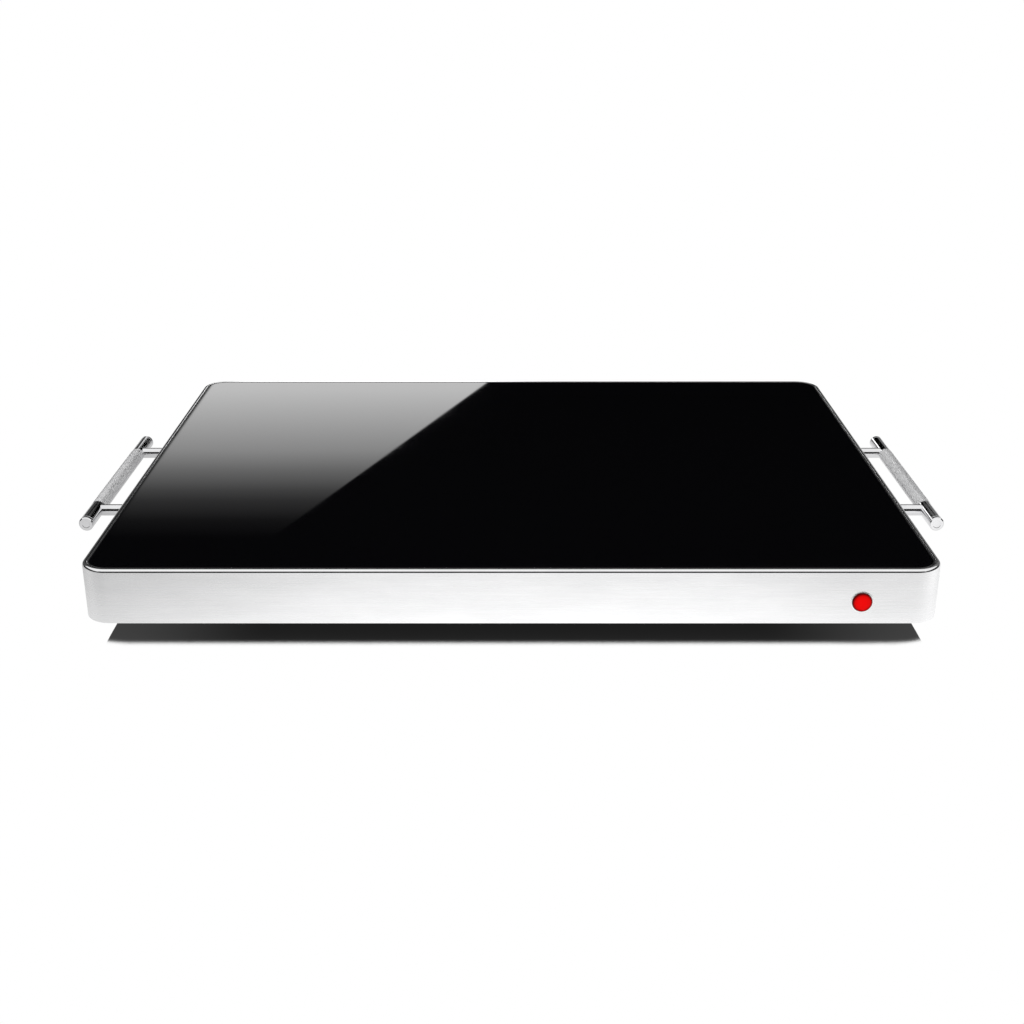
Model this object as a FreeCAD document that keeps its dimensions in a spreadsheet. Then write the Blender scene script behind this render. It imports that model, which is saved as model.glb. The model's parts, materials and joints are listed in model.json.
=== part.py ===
"""Electric food warmer tray: black glass top in a brushed steel surround, with two T-bar handles.

+Z is up, the front is towards -Y, and the origin is the middle of the tray's box, on the table.
Lengths are millimetres.
"""
import FreeCAD, Part
import math
import os
import re
import Sketcher

SIZES = {
    # Tray as a whole
    "tray_width": 533.4,
    "tray_depth": 406.4,
    "corner_radius": 18.0,
    "skirt_height": 36.0,
    "floor_gap": 12.6,
    # Steel surround
    "sheet_steel": 0.8,
    "lip_width": 3.0,
    "lip_round": 1.5,
    "ledge_width": 10.0,
    "flange_width": 13.2,
    # Glass and its bead
    "glass_thickness": 4.0,
    "glass_bevel": 0.8,
    "glass_drop": 0.2,
    "seal_bed": 0.7,
    "seal_bed_width": 8.0,
    "seal_side": 0.6,
    "seal_recess": 0.8,
    # Heater stack
    "heater_side_gap": 3.7,
    "heater_front": 15.2,
    "control_bay": 55.2,
    "heater_corner": 4.0,
    "spreader_thickness": 1.2,
    "mica_thickness": 0.5,
    "ribbon_thickness": 0.4,
    "ribbon_width": 5.0,
    "ribbon_edge": 9.5,
    "ribbon_count": 14,
    "ribbon_margin": 10.0,
    "ribbon_tail": 3.0,
    "blanket_thickness": 8.0,
    "plate_thickness": 0.8,
    # Straps that hold the stack up
    "strap_count": 3,
    "strap_width": 20.0,
    "strap_thickness": 1.2,
    "strap_gap": 1.0,
    "strap_foot": 9.0,
    "strap_inset": 34.0,
    "stud_diameter": 3.0,
    "stud_length": 7.5,
    "stud_nut_width": 5.5,
    "stud_nut_height": 2.4,
    # Bottom pan and its screws
    "pan_steel": 0.8,
    "pan_inset": 4.0,
    "pan_drop": 2.2,
    "pan_step_inset": 14.0,
    "pan_corner": 6.0,
    "pan_screw_inset": 9.0,
    "pan_screw_end": 46.7,
    "pan_screw_count": 4,
    "pan_screw_diameter": 3.5,
    "pan_screw_length": 8.0,
    "pan_screw_head": 6.6,
    "pan_screw_head_height": 1.9,
    "vent_length": 30.0,
    "vent_width": 4.0,
    "vent_pitch": 9.0,
    "vent_count": 9,
    "vent_inset": 83.2,
    # Feet
    "foot_inset": 42.0,
    "foot_diameter": 22.0,
    "foot_taper": 6.0,
    "foot_recess": 11.0,
    "foot_recess_depth": 5.0,
    "foot_screw_diameter": 4.0,
    "foot_screw_head": 8.0,
    "foot_screw_head_height": 2.4,
    "foot_screw_length": 11.0,
    "foot_nut_width": 7.0,
    "foot_nut_height": 3.2,
    # Handles
    "handle_length": 175.5,
    "handle_reach": 27.5,
    "handle_drop": 17.0,
    "handle_bar": 10.0,
    "handle_core": 7.0,
    "grip_gap": 0.75,
    "grip_diameter": 10.4,
    "cap_thickness": 3.0,
    "cap_chamfer": 0.7,
    "post_diameter": 8.0,
    "post_spacing": 121.5,
    "post_thread_depth": 14.0,
    "handle_screw_diameter": 5.0,
    "handle_screw_head": 9.0,
    "handle_screw_head_height": 2.6,
    "washer_diameter": 12.0,
    "washer_thickness": 1.0,
    # Thermostat and its knob
    "knob_offset": 150.0,
    "knob_drop": 18.0,
    "knob_diameter": 24.0,
    "knob_depth": 13.0,
    "knob_gap": 1.0,
    "knob_round": 1.5,
    "knob_recess": 19.0,
    "flute_count": 18,
    "flute_radius": 1.3,
    "pointer_width": 1.6,
    "pointer_length": 5.5,
    "pointer_depth": 0.6,
    "socket_gap": 1.4,
    "shaft_diameter": 6.0,
    "shaft_flat": 1.4,
    "shaft_depth": 14.0,
    "shaft_in_knob": 5.0,
    "bushing_diameter": 9.5,
    "bushing_length": 4.6,
    "bushing_nut_width": 13.0,
    "bushing_nut_height": 2.4,
    "thermostat_width": 32.0,
    "thermostat_length": 20.0,
    "thermostat_height": 22.0,
    "sensor_width": 10.0,
    "sensor_thickness": 0.8,
    "sensor_reach": 20.0,
    "tab_width": 6.3,
    "tab_thickness": 0.8,
    "tab_length": 8.0,
    # Thermal fuse under the retaining plate
    "fuse_offset": -100.0,
    "fuse_behind": 80.0,
    "fuse_diameter": 4.0,
    "fuse_length": 12.0,
    "fuse_lead": 1.0,
    "fuse_lead_length": 10.0,
    "clip_thickness": 0.6,
    "clip_width": 7.0,
    "clip_foot": 8.0,
    "clip_screw_diameter": 3.0,
    "clip_screw_head": 5.5,
    "clip_screw_head_height": 1.8,
    # Pilot lamp
    "lamp_inset": 50.7,
    "lamp_drop": 21.2,
    "lamp_diameter": 12.5,
    "lamp_flange": 1.2,
    "lamp_dome": 0.9,
    "lamp_tube": 9.6,
    "lamp_wall": 0.9,
    "lamp_tube_length": 16.0,
    "lamp_body_length": 7.0,
    "lamp_body_diameter": 10.6,
    "bulb_diameter": 5.0,
    "bulb_length": 12.0,
    "bulb_round": 2.0,
    "ring_diameter": 14.0,
    "ring_thickness": 0.8,
    # Appliance inlet
    "inlet_offset": -150.0,
    "inlet_drop": 18.0,
    "inlet_flange_width": 50.0,
    "inlet_flange_height": 24.0,
    "inlet_flange": 2.5,
    "inlet_body_width": 30.0,
    "inlet_body_height": 22.0,
    "inlet_body_depth": 21.0,
    "recess_width": 24.4,
    "recess_height": 16.4,
    "recess_depth": 17.0,
    "pin_thickness": 2.0,
    "pin_height": 4.0,
    "pin_length": 15.0,
    "pin_spacing": 7.0,
    "pin_stagger": 2.0,
    "inlet_screw_spacing": 40.0,
    "inlet_screw_diameter": 3.0,
    "inlet_screw_head": 5.6,
    "inlet_screw_head_height": 1.8,
    "inlet_screw_length": 9.0,
    "inlet_nut_width": 5.5,
    "inlet_nut_height": 2.4,
    # Terminal block and earth stud
    "block_offset": -40.0,
    "block_back": 27.2,
    "block_end": 8.0,
    "way_count": 4,
    "block_length": 16.0,
    "block_height": 13.0,
    "block_pitch": 13.0,
    "bore_diameter": 5.0,
    "bore_rise": 5.0,
    "clamp_diameter": 4.6,
    "clamp_wall": 0.8,
    "clamp_screw_diameter": 3.0,
    "clamp_screw_length": 6.0,
    "block_screw_diameter": 3.0,
    "block_screw_head": 5.6,
    "block_screw_head_height": 1.8,
    "earth_inset": 61.7,
    "earth_back": 25.2,
    "earth_stud_diameter": 4.0,
    "earth_stud_length": 11.0,
    "earth_nut_width": 7.0,
    "earth_nut_height": 3.2,
    # Wiring
    "lead_diameter": 2.6,
    "lamp_lead_diameter": 1.8,
    "live_exit": 18.0,
    "neutral_exit": 26.0,
    "earth_jog": 24.0,
    "earth_run": 28.0,
    "thermostat_exit": 24.0,
    "thermostat_jog": 40.0,
    "thermostat_pass": 30.0,
    "fuse_run": 60.0,
    "fuse_exit": 36.0,
    "front_tail_drop": 18.0,
    "front_tail_jog": 40.0,
    "rear_tail_drop": 20.0,
    "element_exit": 40.0,
    "lamp_exit": 34.0,
    "lamp_turn": 64.0,
    "lamp_side_gap": 30.0,
    "lamp_rise": 60.0,
    "lamp_end_run": 20.0,
    "lamp_lead_spread": 1.2,
    "lead_bend": 0.45,
    # Shared fits
    "running_clearance": 0.05,
    "screw_clearance": 0.25,
    "fit_clearance": 0.1,
    # Driver slots, as shares of the head
    "slot_length_share": 0.7,
    "slot_width_share": 0.16,
}

FUNCTIONS = {"sqrt", "tan", "cos", "sin"}

# Heights, from the table up
TOP = "(floor_gap + skirt_height)"
GLASS_TOP = f"({TOP} - glass_drop)"
GLASS_BOTTOM = f"({GLASS_TOP} - glass_thickness)"
LEDGE_TOP = f"({GLASS_BOTTOM} - seal_bed)"
LEDGE_BOTTOM = f"({LEDGE_TOP} - sheet_steel)"
SPREADER_BOTTOM = f"({GLASS_BOTTOM} - spreader_thickness)"
UPPER_MICA_BOTTOM = f"({SPREADER_BOTTOM} - mica_thickness)"
RIBBON_BOTTOM = f"({UPPER_MICA_BOTTOM} - ribbon_thickness)"
LOWER_MICA_BOTTOM = f"({RIBBON_BOTTOM} - mica_thickness)"
BLANKET_BOTTOM = f"({LOWER_MICA_BOTTOM} - blanket_thickness)"
PLATE_BOTTOM = f"({BLANKET_BOTTOM} - plate_thickness)"
STRAP_BOTTOM = f"({PLATE_BOTTOM} - strap_thickness)"
PAN_FLANGE_BOTTOM = "(floor_gap - pan_steel)"
FOOT_TOP = f"({PAN_FLANGE_BOTTOM} - pan_drop)"
PAN_FLOOR = f"({FOOT_TOP} + pan_steel)"
FLANGE_TOP = "(floor_gap + sheet_steel)"

# Places along and across the tray, from its middle
HALF_WIDTH = "(tray_width / 2)"
HALF_DEPTH = "(tray_depth / 2)"
REAR_WALL = f"({HALF_DEPTH} - sheet_steel)"
SIDE_WALL = f"({HALF_WIDTH} - sheet_steel)"
HEATER_WIDTH = "(tray_width - 2 * (lip_width + ledge_width + heater_side_gap))"
HEATER_DEPTH = "(tray_depth - heater_front - control_bay)"
HEATER_ROW = f"(heater_front + {HEATER_DEPTH} / 2 - {HALF_DEPTH})"
HEATER_HALF = f"({HEATER_WIDTH} / 2)"
RIBBON_PITCH = f"(({HEATER_DEPTH} - 2 * ribbon_edge - ribbon_width) / (ribbon_count - 1))"
FUSE_ROW = f"({HEATER_ROW} + fuse_behind)"
LAMP_COLUMN = f"({HALF_WIDTH} - lamp_inset)"
BLOCK_ROW = f"({HALF_DEPTH} - block_back)"
EARTH_ROW = f"({HALF_DEPTH} - earth_back)"
EARTH_COLUMN = f"(earth_inset - {HALF_WIDTH})"
STRAP_REACH = f"({HEATER_HALF} + strap_gap)"
STRAP_END = f"({STRAP_REACH} + strap_thickness + strap_foot)"
STUD_COLUMN = f"({STRAP_END} - strap_foot / 2)"
BAR_COLUMN = f"({HALF_WIDTH} + handle_reach)"
BAR_HEIGHT = f"({TOP} - handle_drop)"
GRIP_LENGTH = "(post_spacing - post_diameter - 2 * grip_gap)"
KNOB_HEIGHT = f"({TOP} - knob_drop)"
KNOB_BACK = f"({HALF_DEPTH} + knob_gap)"
KNOB_FRONT = f"({KNOB_BACK} + knob_depth)"
LAMP_HEIGHT = f"({TOP} - lamp_drop)"
INLET_HEIGHT = f"({TOP} - inlet_drop)"
THERMOSTAT_FACE = f"({REAR_WALL} - thermostat_length)"
RECESS_FLOOR = f"({HALF_DEPTH} + inlet_flange - recess_depth)"
INLET_BACK = f"({HALF_DEPTH} - inlet_body_depth)"
FRONT_REACH = "(lamp_flange + lamp_dome)"
REAR_REACH = "(knob_gap + knob_depth)"
MIDDLE_SHIFT = f"(({FRONT_REACH} - {REAR_REACH}) / 2)"

document = FreeCAD.newDocument("food_warmer_tray")
sheet = document.addObject("Spreadsheet::Sheet", "sizes")
parts = []


def fill_sheet():
    """Write every driving dimension into the sheet and give its cell an alias."""
    for row, (name, value) in enumerate(SIZES.items(), start=1):
        sheet.set(f"A{row}", name)
        sheet.set(f"B{row}", str(value))
        sheet.setAlias(f"B{row}", name)
    document.recompute()


def formula(text):
    """Turn a formula over plain names into one over the sheet's cells."""
    def cell(match):
        word = match.group()
        return word if word in FUNCTIONS else f"sizes.{word}"
    return re.sub(r"[a-z][a-z_]+", cell, str(text))


def number(text):
    """Work out a formula over plain names."""
    return float(sheet.evalExpression(formula(text)))


def count(name):
    """Read a whole number of repeats from the sheet."""
    return int(round(number(name)))


# Sketches

PLANES = {"XY": "XY_Plane", "XZ": "XZ_Plane", "YZ": "YZ_Plane"}
ORIGIN = -1
UPRIGHT_AXIS = -2
START, END, CENTRE = 1, 2, 3


def new_body(label):
    """Start a piece. Every piece is drawn about the tray's middle and moved by the same shift."""
    body = document.addObject("PartDesign::Body", label)
    body.Label = label
    body.setExpression("Placement.Base.y", formula(MIDDLE_SHIFT))
    parts.append(body)
    return body


def plane_of(body, plane):
    """Find one of the body's own origin planes."""
    return next(item for item in body.Origin.OriginFeatures if item.Role == PLANES[plane])


def new_sketch(body, plane, level):
    """Attach a sketch to an origin plane, lifted to a coordinate along the third axis."""
    sketch = body.newObject("Sketcher::SketchObject", f"{body.Name}_sketch")
    sketch.AttachmentSupport = [(plane_of(body, plane), "")]
    sketch.MapMode = "FlatFace"
    lift = f"-1 * ({level})" if plane == "XZ" else level
    sketch.setExpression("AttachmentOffset.Base.z", formula(lift))
    return sketch


def fix(sketch, kind, references, text):
    """Add a constraint whose value is a formula."""
    index = sketch.addConstraint(Sketcher.Constraint(kind, *references, number(text)))
    sketch.setExpression(f"Constraints[{index}]", formula(text))


def fix_point(sketch, item, spot, across, along):
    """Hold a point at two formulas, from the sketch's origin."""
    if str(across) == "0":
        sketch.addConstraint(Sketcher.Constraint("PointOnObject", item, spot, UPRIGHT_AXIS))
    else:
        fix(sketch, "DistanceX", (ORIGIN, START, item, spot), across)
    if str(along) == "0":
        sketch.addConstraint(Sketcher.Constraint("PointOnObject", item, spot, ORIGIN))
    else:
        fix(sketch, "DistanceY", (ORIGIN, START, item, spot), along)


def outline(sketch, points):
    """Draw a closed outline through points given as pairs of formulas."""
    places = [FreeCAD.Vector(number(across), number(along), 0) for across, along in points]
    first = sketch.GeometryCount
    total = len(points)
    for index in range(total):
        sketch.addGeometry(Part.LineSegment(places[index], places[(index + 1) % total]))
    for index, (across, along) in enumerate(points):
        fix_point(sketch, first + index, START, across, along)
        before = first + (index - 1) % total
        sketch.addConstraint(Sketcher.Constraint("Coincident", before, END, first + index, START))


def rectangle(sketch, across, along, width, height):
    """Draw a rectangle about a centre."""
    left, right = f"{across} - ({width}) / 2", f"{across} + ({width}) / 2"
    low, high = f"{along} - ({height}) / 2", f"{along} + ({height}) / 2"
    outline(sketch, [(left, low), (right, low), (right, high), (left, high)])


def circle(sketch, across, along, diameter):
    """Draw a circle about a centre."""
    middle = FreeCAD.Vector(number(across), number(along), 0)
    item = sketch.addGeometry(Part.Circle(middle, FreeCAD.Vector(0, 0, 1), number(diameter) / 2))
    fix(sketch, "Radius", (item,), f"({diameter}) / 2")
    fix_point(sketch, item, CENTRE, across, along)


def hexagon(sketch, across, along, width):
    """Draw a hexagon of a given width across flats, flats facing left and right."""
    half, corner = f"({width}) / 2", f"({width}) / sqrt(3)"
    outline(sketch, [
        (f"{across} + {half}", f"{along} - {corner} / 2"),
        (f"{across} + {half}", f"{along} + {corner} / 2"),
        (f"{across}", f"{along} + {corner}"),
        (f"{across} - {half}", f"{along} + {corner} / 2"),
        (f"{across} - {half}", f"{along} - {corner} / 2"),
        (f"{across}", f"{along} - {corner}"),
    ])


def rounded_rectangle(sketch, across, along, width, height, radius):
    """Draw a rectangle with four equal round corners about a centre."""
    x, y = number(across), number(along)
    reach, rise, bend = number(width) / 2, number(height) / 2, number(radius)
    corners = [(1, 1, 0), (-1, 1, 90), (-1, -1, 180), (1, -1, 270)]
    arcs = []
    for right, up, turn in corners:
        middle = FreeCAD.Vector(x + right * (reach - bend), y + up * (rise - bend), 0)
        ring = Part.Circle(middle, FreeCAD.Vector(0, 0, 1), bend)
        arcs.append(sketch.addGeometry(
            Part.ArcOfCircle(ring, math.radians(turn), math.radians(turn + 90))))
        column = f"{across} + {right} * (({width}) / 2 - ({radius}))"
        row = f"{along} + {up} * (({height}) / 2 - ({radius}))"
        fix(sketch, "Radius", (arcs[-1],), radius)
        fix_point(sketch, arcs[-1], CENTRE, column, row)
    for index in range(4):
        here, after = arcs[index], arcs[(index + 1) % 4]
        begin = sketch.Geometry[here].EndPoint
        finish = sketch.Geometry[after].StartPoint
        side = sketch.addGeometry(Part.LineSegment(begin, finish))
        sketch.addConstraint(Sketcher.Constraint("Tangent", here, END, side, START))
        sketch.addConstraint(Sketcher.Constraint("Tangent", side, END, after, START))


def tray_outline(sketch, inset):
    """Draw the tray's plan outline, moved inwards by an inset."""
    rounded_rectangle(sketch, "0", "0", f"tray_width - 2 * ({inset})",
                      f"tray_depth - 2 * ({inset})", f"corner_radius - ({inset})")


# Features

def extrude(kind, body, sketch, length, forward):
    """Pad or pocket a sketch, forward being along its plane's normal."""
    feature = body.newObject(f"PartDesign::{kind}", f"{body.Name}_{kind.lower()}")
    feature.Profile = sketch
    feature.setExpression("Length", formula(length))
    feature.Reversed = forward if kind == "Pocket" else not forward
    base = feature.BaseFeature
    document.recompute()
    grown = feature.Shape.Volume - (base.Shape.Volume if base else 0)
    if (kind == "Pad") != (grown > 0):
        raise RuntimeError(f"{feature.Label} changes the volume by {grown:.3f}")
    return feature


def pad(body, plane, level, length, draw, forward=True):
    """Add a prism. draw is called with the sketch; forward is along +Z, +X or +Y."""
    sketch = new_sketch(body, plane, level)
    draw(sketch)
    return extrude("Pad", body, sketch, length, forward != (plane == "XZ"))


def pocket(body, plane, level, length, draw, forward=True):
    """Cut a prism. draw is called with the sketch; forward is along +Z, +X or +Y."""
    sketch = new_sketch(body, plane, level)
    draw(sketch)
    return extrude("Pocket", body, sketch, length, forward != (plane == "XZ"))


def edges_at(feature, axis, place):
    """Name the edges that lie wholly at one coordinate."""
    names = []
    for index, edge in enumerate(feature.Shape.Edges, start=1):
        box = edge.BoundBox
        low, high = getattr(box, f"{axis}Min"), getattr(box, f"{axis}Max")
        if abs(low - place) < 1e-4 and abs(high - place) < 1e-4:
            names.append(f"Edge{index}")
    return names


def soften(kind, body, feature, axis, place, size):
    """Fillet or chamfer the edges of a feature that lie at one coordinate."""
    result = body.newObject(f"PartDesign::{kind}", f"{body.Name}_{kind.lower()}")
    result.Base = (feature, edges_at(feature, axis, number(place)))
    result.setExpression("Radius" if kind == "Fillet" else "Size", formula(size))
    document.recompute()
    return result


def circles(places, diameter):
    """Give a drawing of equal circles."""
    def draw(sketch):
        for across, along in places:
            circle(sketch, across, along, diameter)
    return draw


def rings(places, outer, inner):
    """Give a drawing of equal rings."""
    def draw(sketch):
        circles(places, outer)(sketch)
        circles(places, inner)(sketch)
    return draw


def hexagons(places, width, bore):
    """Give a drawing of equal hexagons with a round hole."""
    def draw(sketch):
        for across, along in places:
            hexagon(sketch, across, along, width)
        circles(places, bore)(sketch)
    return draw


def rectangles(places, width, height):
    """Give a drawing of equal rectangles."""
    def draw(sketch):
        for across, along in places:
            rectangle(sketch, across, along, width, height)
    return draw


def screws(label, plane, places, head, head_level, head_height, shank, length, forward):
    """Make a group of pan-head screws: forward is the way the shanks point."""
    body = new_body(label)
    pad(body, plane, head_level, head_height, circles(places, head), not forward)
    pad(body, plane, head_level, length, circles(places, shank), forward)
    slot = f"{head_level} - {head_height}" if forward else f"{head_level} + {head_height}"
    pocket(body, plane, slot, f"{head_height} / 2",
           rectangles(places, f"{head} * slot_length_share", f"{head} * slot_width_share"), forward)
    return body


def nuts(label, plane, places, width, bore, level, height, forward):
    """Make a group of hexagon nuts."""
    body = new_body(label)
    pad(body, plane, level, height, hexagons(places, width, bore), forward)
    return body


# Places that more than one piece shares

CLIP_HALF = "(fuse_diameter / 2 + fit_clearance + clip_thickness)"
CLIP_SCREW_PLACES = [
    ("fuse_offset", f"{FUSE_ROW} + {back} * ({CLIP_HALF} + clip_foot / 2)") for back in (-1, 1)
]
FOOT_PLACES = [
    (f"{right} * ({HALF_WIDTH} - foot_inset)", f"{back} * ({HALF_DEPTH} - foot_inset)")
    for right in (-1, 1) for back in (-1, 1)
]
INLET_SCREW_PLACES = [
    (f"inlet_offset + {right} * inlet_screw_spacing / 2", INLET_HEIGHT) for right in (-1, 1)
]
POST_PLACES = [(f"{back} * post_spacing / 2", BAR_HEIGHT) for back in (-1, 1)]


# Surround and glass


def pan_screw_places():
    """Space the pan's screws evenly along the front and the rear flange."""
    total = count("pan_screw_count")
    pitch = f"(2 * ({HALF_WIDTH} - pan_screw_end) / ({total} - 1))"
    return [
        (f"pan_screw_end - {HALF_WIDTH} + {index} * {pitch}",
         f"{back} * ({HALF_DEPTH} - pan_screw_inset)")
        for back in (-1, 1) for index in range(total)
    ]


def make_surround():
    """Draw the one-piece steel surround: skirt, rim, ledge for the glass and bottom flange."""
    body = new_body("steel_surround")
    skirt = pad(body, "XY", "floor_gap", "skirt_height", lambda s: tray_outline(s, "0"))
    soften("Fillet", body, skirt, "Z", TOP, "lip_round")
    pocket(body, "XY", FLANGE_TOP, "skirt_height - 2 * sheet_steel",
           lambda s: tray_outline(s, "sheet_steel"))
    pocket(body, "XY", TOP, "2 * sheet_steel", lambda s: tray_outline(s, "lip_width"), False)
    pocket(body, "XY", "floor_gap", "2 * sheet_steel",
           lambda s: tray_outline(s, "flange_width"))

    def joggle(sketch):
        tray_outline(sketch, "lip_width - sheet_steel")
        tray_outline(sketch, "lip_width")

    def ledge(sketch):
        tray_outline(sketch, "lip_width - sheet_steel")
        tray_outline(sketch, "lip_width + ledge_width")

    pad(body, "XY", LEDGE_BOTTOM, f"{TOP} - sheet_steel / 2 - {LEDGE_BOTTOM}", joggle)
    pad(body, "XY", LEDGE_BOTTOM, "sheet_steel", ledge)
    through = "2 * sheet_steel"
    pocket(body, "XY", "floor_gap", through,
           circles(pan_screw_places(), "pan_screw_diameter"))
    pocket(body, "XZ", f"-1 * {HALF_DEPTH}", through,
           circles([(LAMP_COLUMN, LAMP_HEIGHT)], "lamp_tube + 2 * fit_clearance"))
    pocket(body, "XZ", HALF_DEPTH, through,
           circles([("knob_offset", KNOB_HEIGHT)], "bushing_diameter + 2 * fit_clearance"), False)
    pocket(body, "XZ", HALF_DEPTH, through,
           rectangles([("inlet_offset", INLET_HEIGHT)], "inlet_body_width + 2 * fit_clearance",
                      "inlet_body_height + 2 * fit_clearance"), False)
    pocket(body, "XZ", HALF_DEPTH, through,
           circles(INLET_SCREW_PLACES, "inlet_screw_diameter + 2 * screw_clearance"), False)
    screw_hole = "handle_screw_diameter + 2 * screw_clearance"
    pocket(body, "YZ", HALF_WIDTH, through, circles(POST_PLACES, screw_hole), False)
    pocket(body, "YZ", f"-1 * {HALF_WIDTH}", through, circles(POST_PLACES, screw_hole))


def make_glass():
    """Draw the glass plate with its pencilled top edge, and the bead that beds it."""
    glass = new_body("glass_top")
    plate = pad(glass, "XY", GLASS_BOTTOM, "glass_thickness",
                lambda s: tray_outline(s, "lip_width + seal_side"))
    soften("Chamfer", glass, plate, "Z", GLASS_TOP, "glass_bevel")

    def bed(sketch):
        tray_outline(sketch, "lip_width")
        tray_outline(sketch, "lip_width + seal_bed_width")

    def side(sketch):
        tray_outline(sketch, "lip_width")
        tray_outline(sketch, "lip_width + seal_side")

    seal = new_body("glass_seal")
    pad(seal, "XY", LEDGE_TOP, "seal_bed", bed)
    pad(seal, "XY", LEDGE_TOP, "seal_bed + glass_thickness - seal_recess", side)


# Heater stack

def heater_layer(label, bottom, thickness, inset):
    """Draw one flat layer of the heater stack."""
    body = new_body(label)

    def plan(sketch):
        rounded_rectangle(sketch, "0", HEATER_ROW, f"{HEATER_WIDTH} - 2 * ({inset})",
                          f"{HEATER_DEPTH} - 2 * ({inset})", "heater_corner")

    pad(body, "XY", bottom, thickness, plan)
    return body


def ribbon_rows():
    """Space the ribbon's runs evenly about the heater's middle."""
    total = count("ribbon_count")
    return [f"{HEATER_ROW} + ({index} - ({total} - 1) / 2) * {RIBBON_PITCH}"
            for index in range(total)]


def make_ribbon():
    """Draw the resistance ribbon: parallel runs joined end to end by short links."""
    body = new_body("heating_ribbon")
    run = f"({HEATER_WIDTH} - 2 * ribbon_margin)"
    rows = ribbon_rows()
    pad(body, "XY", RIBBON_BOTTOM, "ribbon_thickness",
        rectangles([("0", row) for row in rows], run, "ribbon_width"))
    links = [
        (f"{1 if index % 2 == 0 else -1} * ({run} - ribbon_width) / 2",
         f"{row} + {RIBBON_PITCH} / 2")
        for index, row in enumerate(rows[:-1])
    ]
    pad(body, "XY", RIBBON_BOTTOM, "ribbon_thickness",
        rectangles(links, "ribbon_width", f"{RIBBON_PITCH} + ribbon_width"))
    tail = "(ribbon_margin + ribbon_tail)"
    tails = [(f"-1 * ({HEATER_WIDTH} / 2 - ribbon_margin) - {tail} / 2", row)
             for row in (rows[0], rows[-1])]
    pad(body, "XY", RIBBON_BOTTOM, "ribbon_thickness", rectangles(tails, tail, "ribbon_width"))


def strap_rows():
    """Space the straps evenly under the heater stack."""
    total = count("strap_count")
    span = f"({HEATER_DEPTH} - 2 * strap_inset)"
    return [f"{HEATER_ROW} - {span} / 2 + {index} * {span} / ({total} - 1)"
            for index in range(total)]


def make_straps():
    """Draw the joggled straps, the studs under the ledge and their nuts."""
    body = new_body("support_straps")
    outer = f"({STRAP_REACH} + strap_thickness)"
    profile = [
        (f"-1 * {STRAP_END}", LEDGE_BOTTOM),
        (f"-1 * {STRAP_REACH}", LEDGE_BOTTOM),
        (f"-1 * {STRAP_REACH}", PLATE_BOTTOM),
        (STRAP_REACH, PLATE_BOTTOM),
        (STRAP_REACH, LEDGE_BOTTOM),
        (STRAP_END, LEDGE_BOTTOM),
        (STRAP_END, f"{LEDGE_BOTTOM} - strap_thickness"),
        (outer, f"{LEDGE_BOTTOM} - strap_thickness"),
        (outer, STRAP_BOTTOM),
        (f"-1 * {outer}", STRAP_BOTTOM),
        (f"-1 * {outer}", f"{LEDGE_BOTTOM} - strap_thickness"),
        (f"-1 * {STRAP_END}", f"{LEDGE_BOTTOM} - strap_thickness"),
    ]
    for row in strap_rows():
        pad(body, "XZ", f"{row} - strap_width / 2", "strap_width", lambda s: outline(s, profile))
    places = [(f"{right} * {STUD_COLUMN}", row) for right in (-1, 1) for row in strap_rows()]
    pocket(body, "XY", LEDGE_BOTTOM, "strap_thickness",
           circles(places, "stud_diameter + 2 * screw_clearance"), False)
    studs = new_body("strap_studs")
    pad(studs, "XY", LEDGE_BOTTOM, "stud_length", circles(places, "stud_diameter"), False)
    nuts("strap_nuts", "XY", places, "stud_nut_width", "stud_diameter",
         f"{LEDGE_BOTTOM} - strap_thickness", "stud_nut_height", False)


def make_heater():
    """Draw the heater stack from the glass down."""
    heater_layer("heat_spreader", SPREADER_BOTTOM, "spreader_thickness", "0")
    heater_layer("upper_mica_sheet", UPPER_MICA_BOTTOM, "mica_thickness", "0")
    make_ribbon()
    heater_layer("lower_mica_sheet", LOWER_MICA_BOTTOM, "mica_thickness", "0")
    heater_layer("insulation_blanket", BLANKET_BOTTOM, "blanket_thickness", "0")
    plate = heater_layer("retaining_plate", PLATE_BOTTOM, "plate_thickness", "0")
    pocket(plate, "XY", PLATE_BOTTOM, "plate_thickness",
           circles(CLIP_SCREW_PLACES, "clip_screw_diameter"))
    make_straps()


# Bottom pan and feet

def vent_places():
    """Place two groups of vent slots across the pan."""
    total = count("vent_count")
    return [
        (f"({index} - ({total} - 1) / 2) * vent_pitch", f"{back} * ({HALF_DEPTH} - vent_inset)")
        for back in (-1, 1) for index in range(total)
    ]


def make_pan():
    """Draw the dished bottom pan, with its vents, and the screws that hold it."""
    body = new_body("bottom_pan")

    def step(inset):
        return lambda s: rounded_rectangle(s, "0", "0", f"tray_width - 2 * ({inset})",
                                           f"tray_depth - 2 * ({inset})", "pan_corner")

    pad(body, "XY", PAN_FLANGE_BOTTOM, "pan_steel", lambda s: tray_outline(s, "pan_inset"))
    pad(body, "XY", FOOT_TOP, "pan_drop", step("pan_step_inset"))
    pocket(body, "XY", "floor_gap", "pan_drop", step("pan_step_inset + pan_steel"), False)
    through = "pan_drop + 2 * pan_steel"
    pocket(body, "XY", "floor_gap", through,
           circles(FOOT_PLACES, "foot_screw_diameter + 2 * screw_clearance"), False)
    pocket(body, "XY", "floor_gap", through,
           circles(pan_screw_places(), "pan_screw_diameter + 2 * screw_clearance"), False)
    pocket(body, "XY", "floor_gap", through,
           rectangles(vent_places(), "vent_width", "vent_length"), False)
    screws("pan_screws", "XY", pan_screw_places(), "pan_screw_head", PAN_FLANGE_BOTTOM,
           "pan_screw_head_height", "pan_screw_diameter", "pan_screw_length", True)


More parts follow.
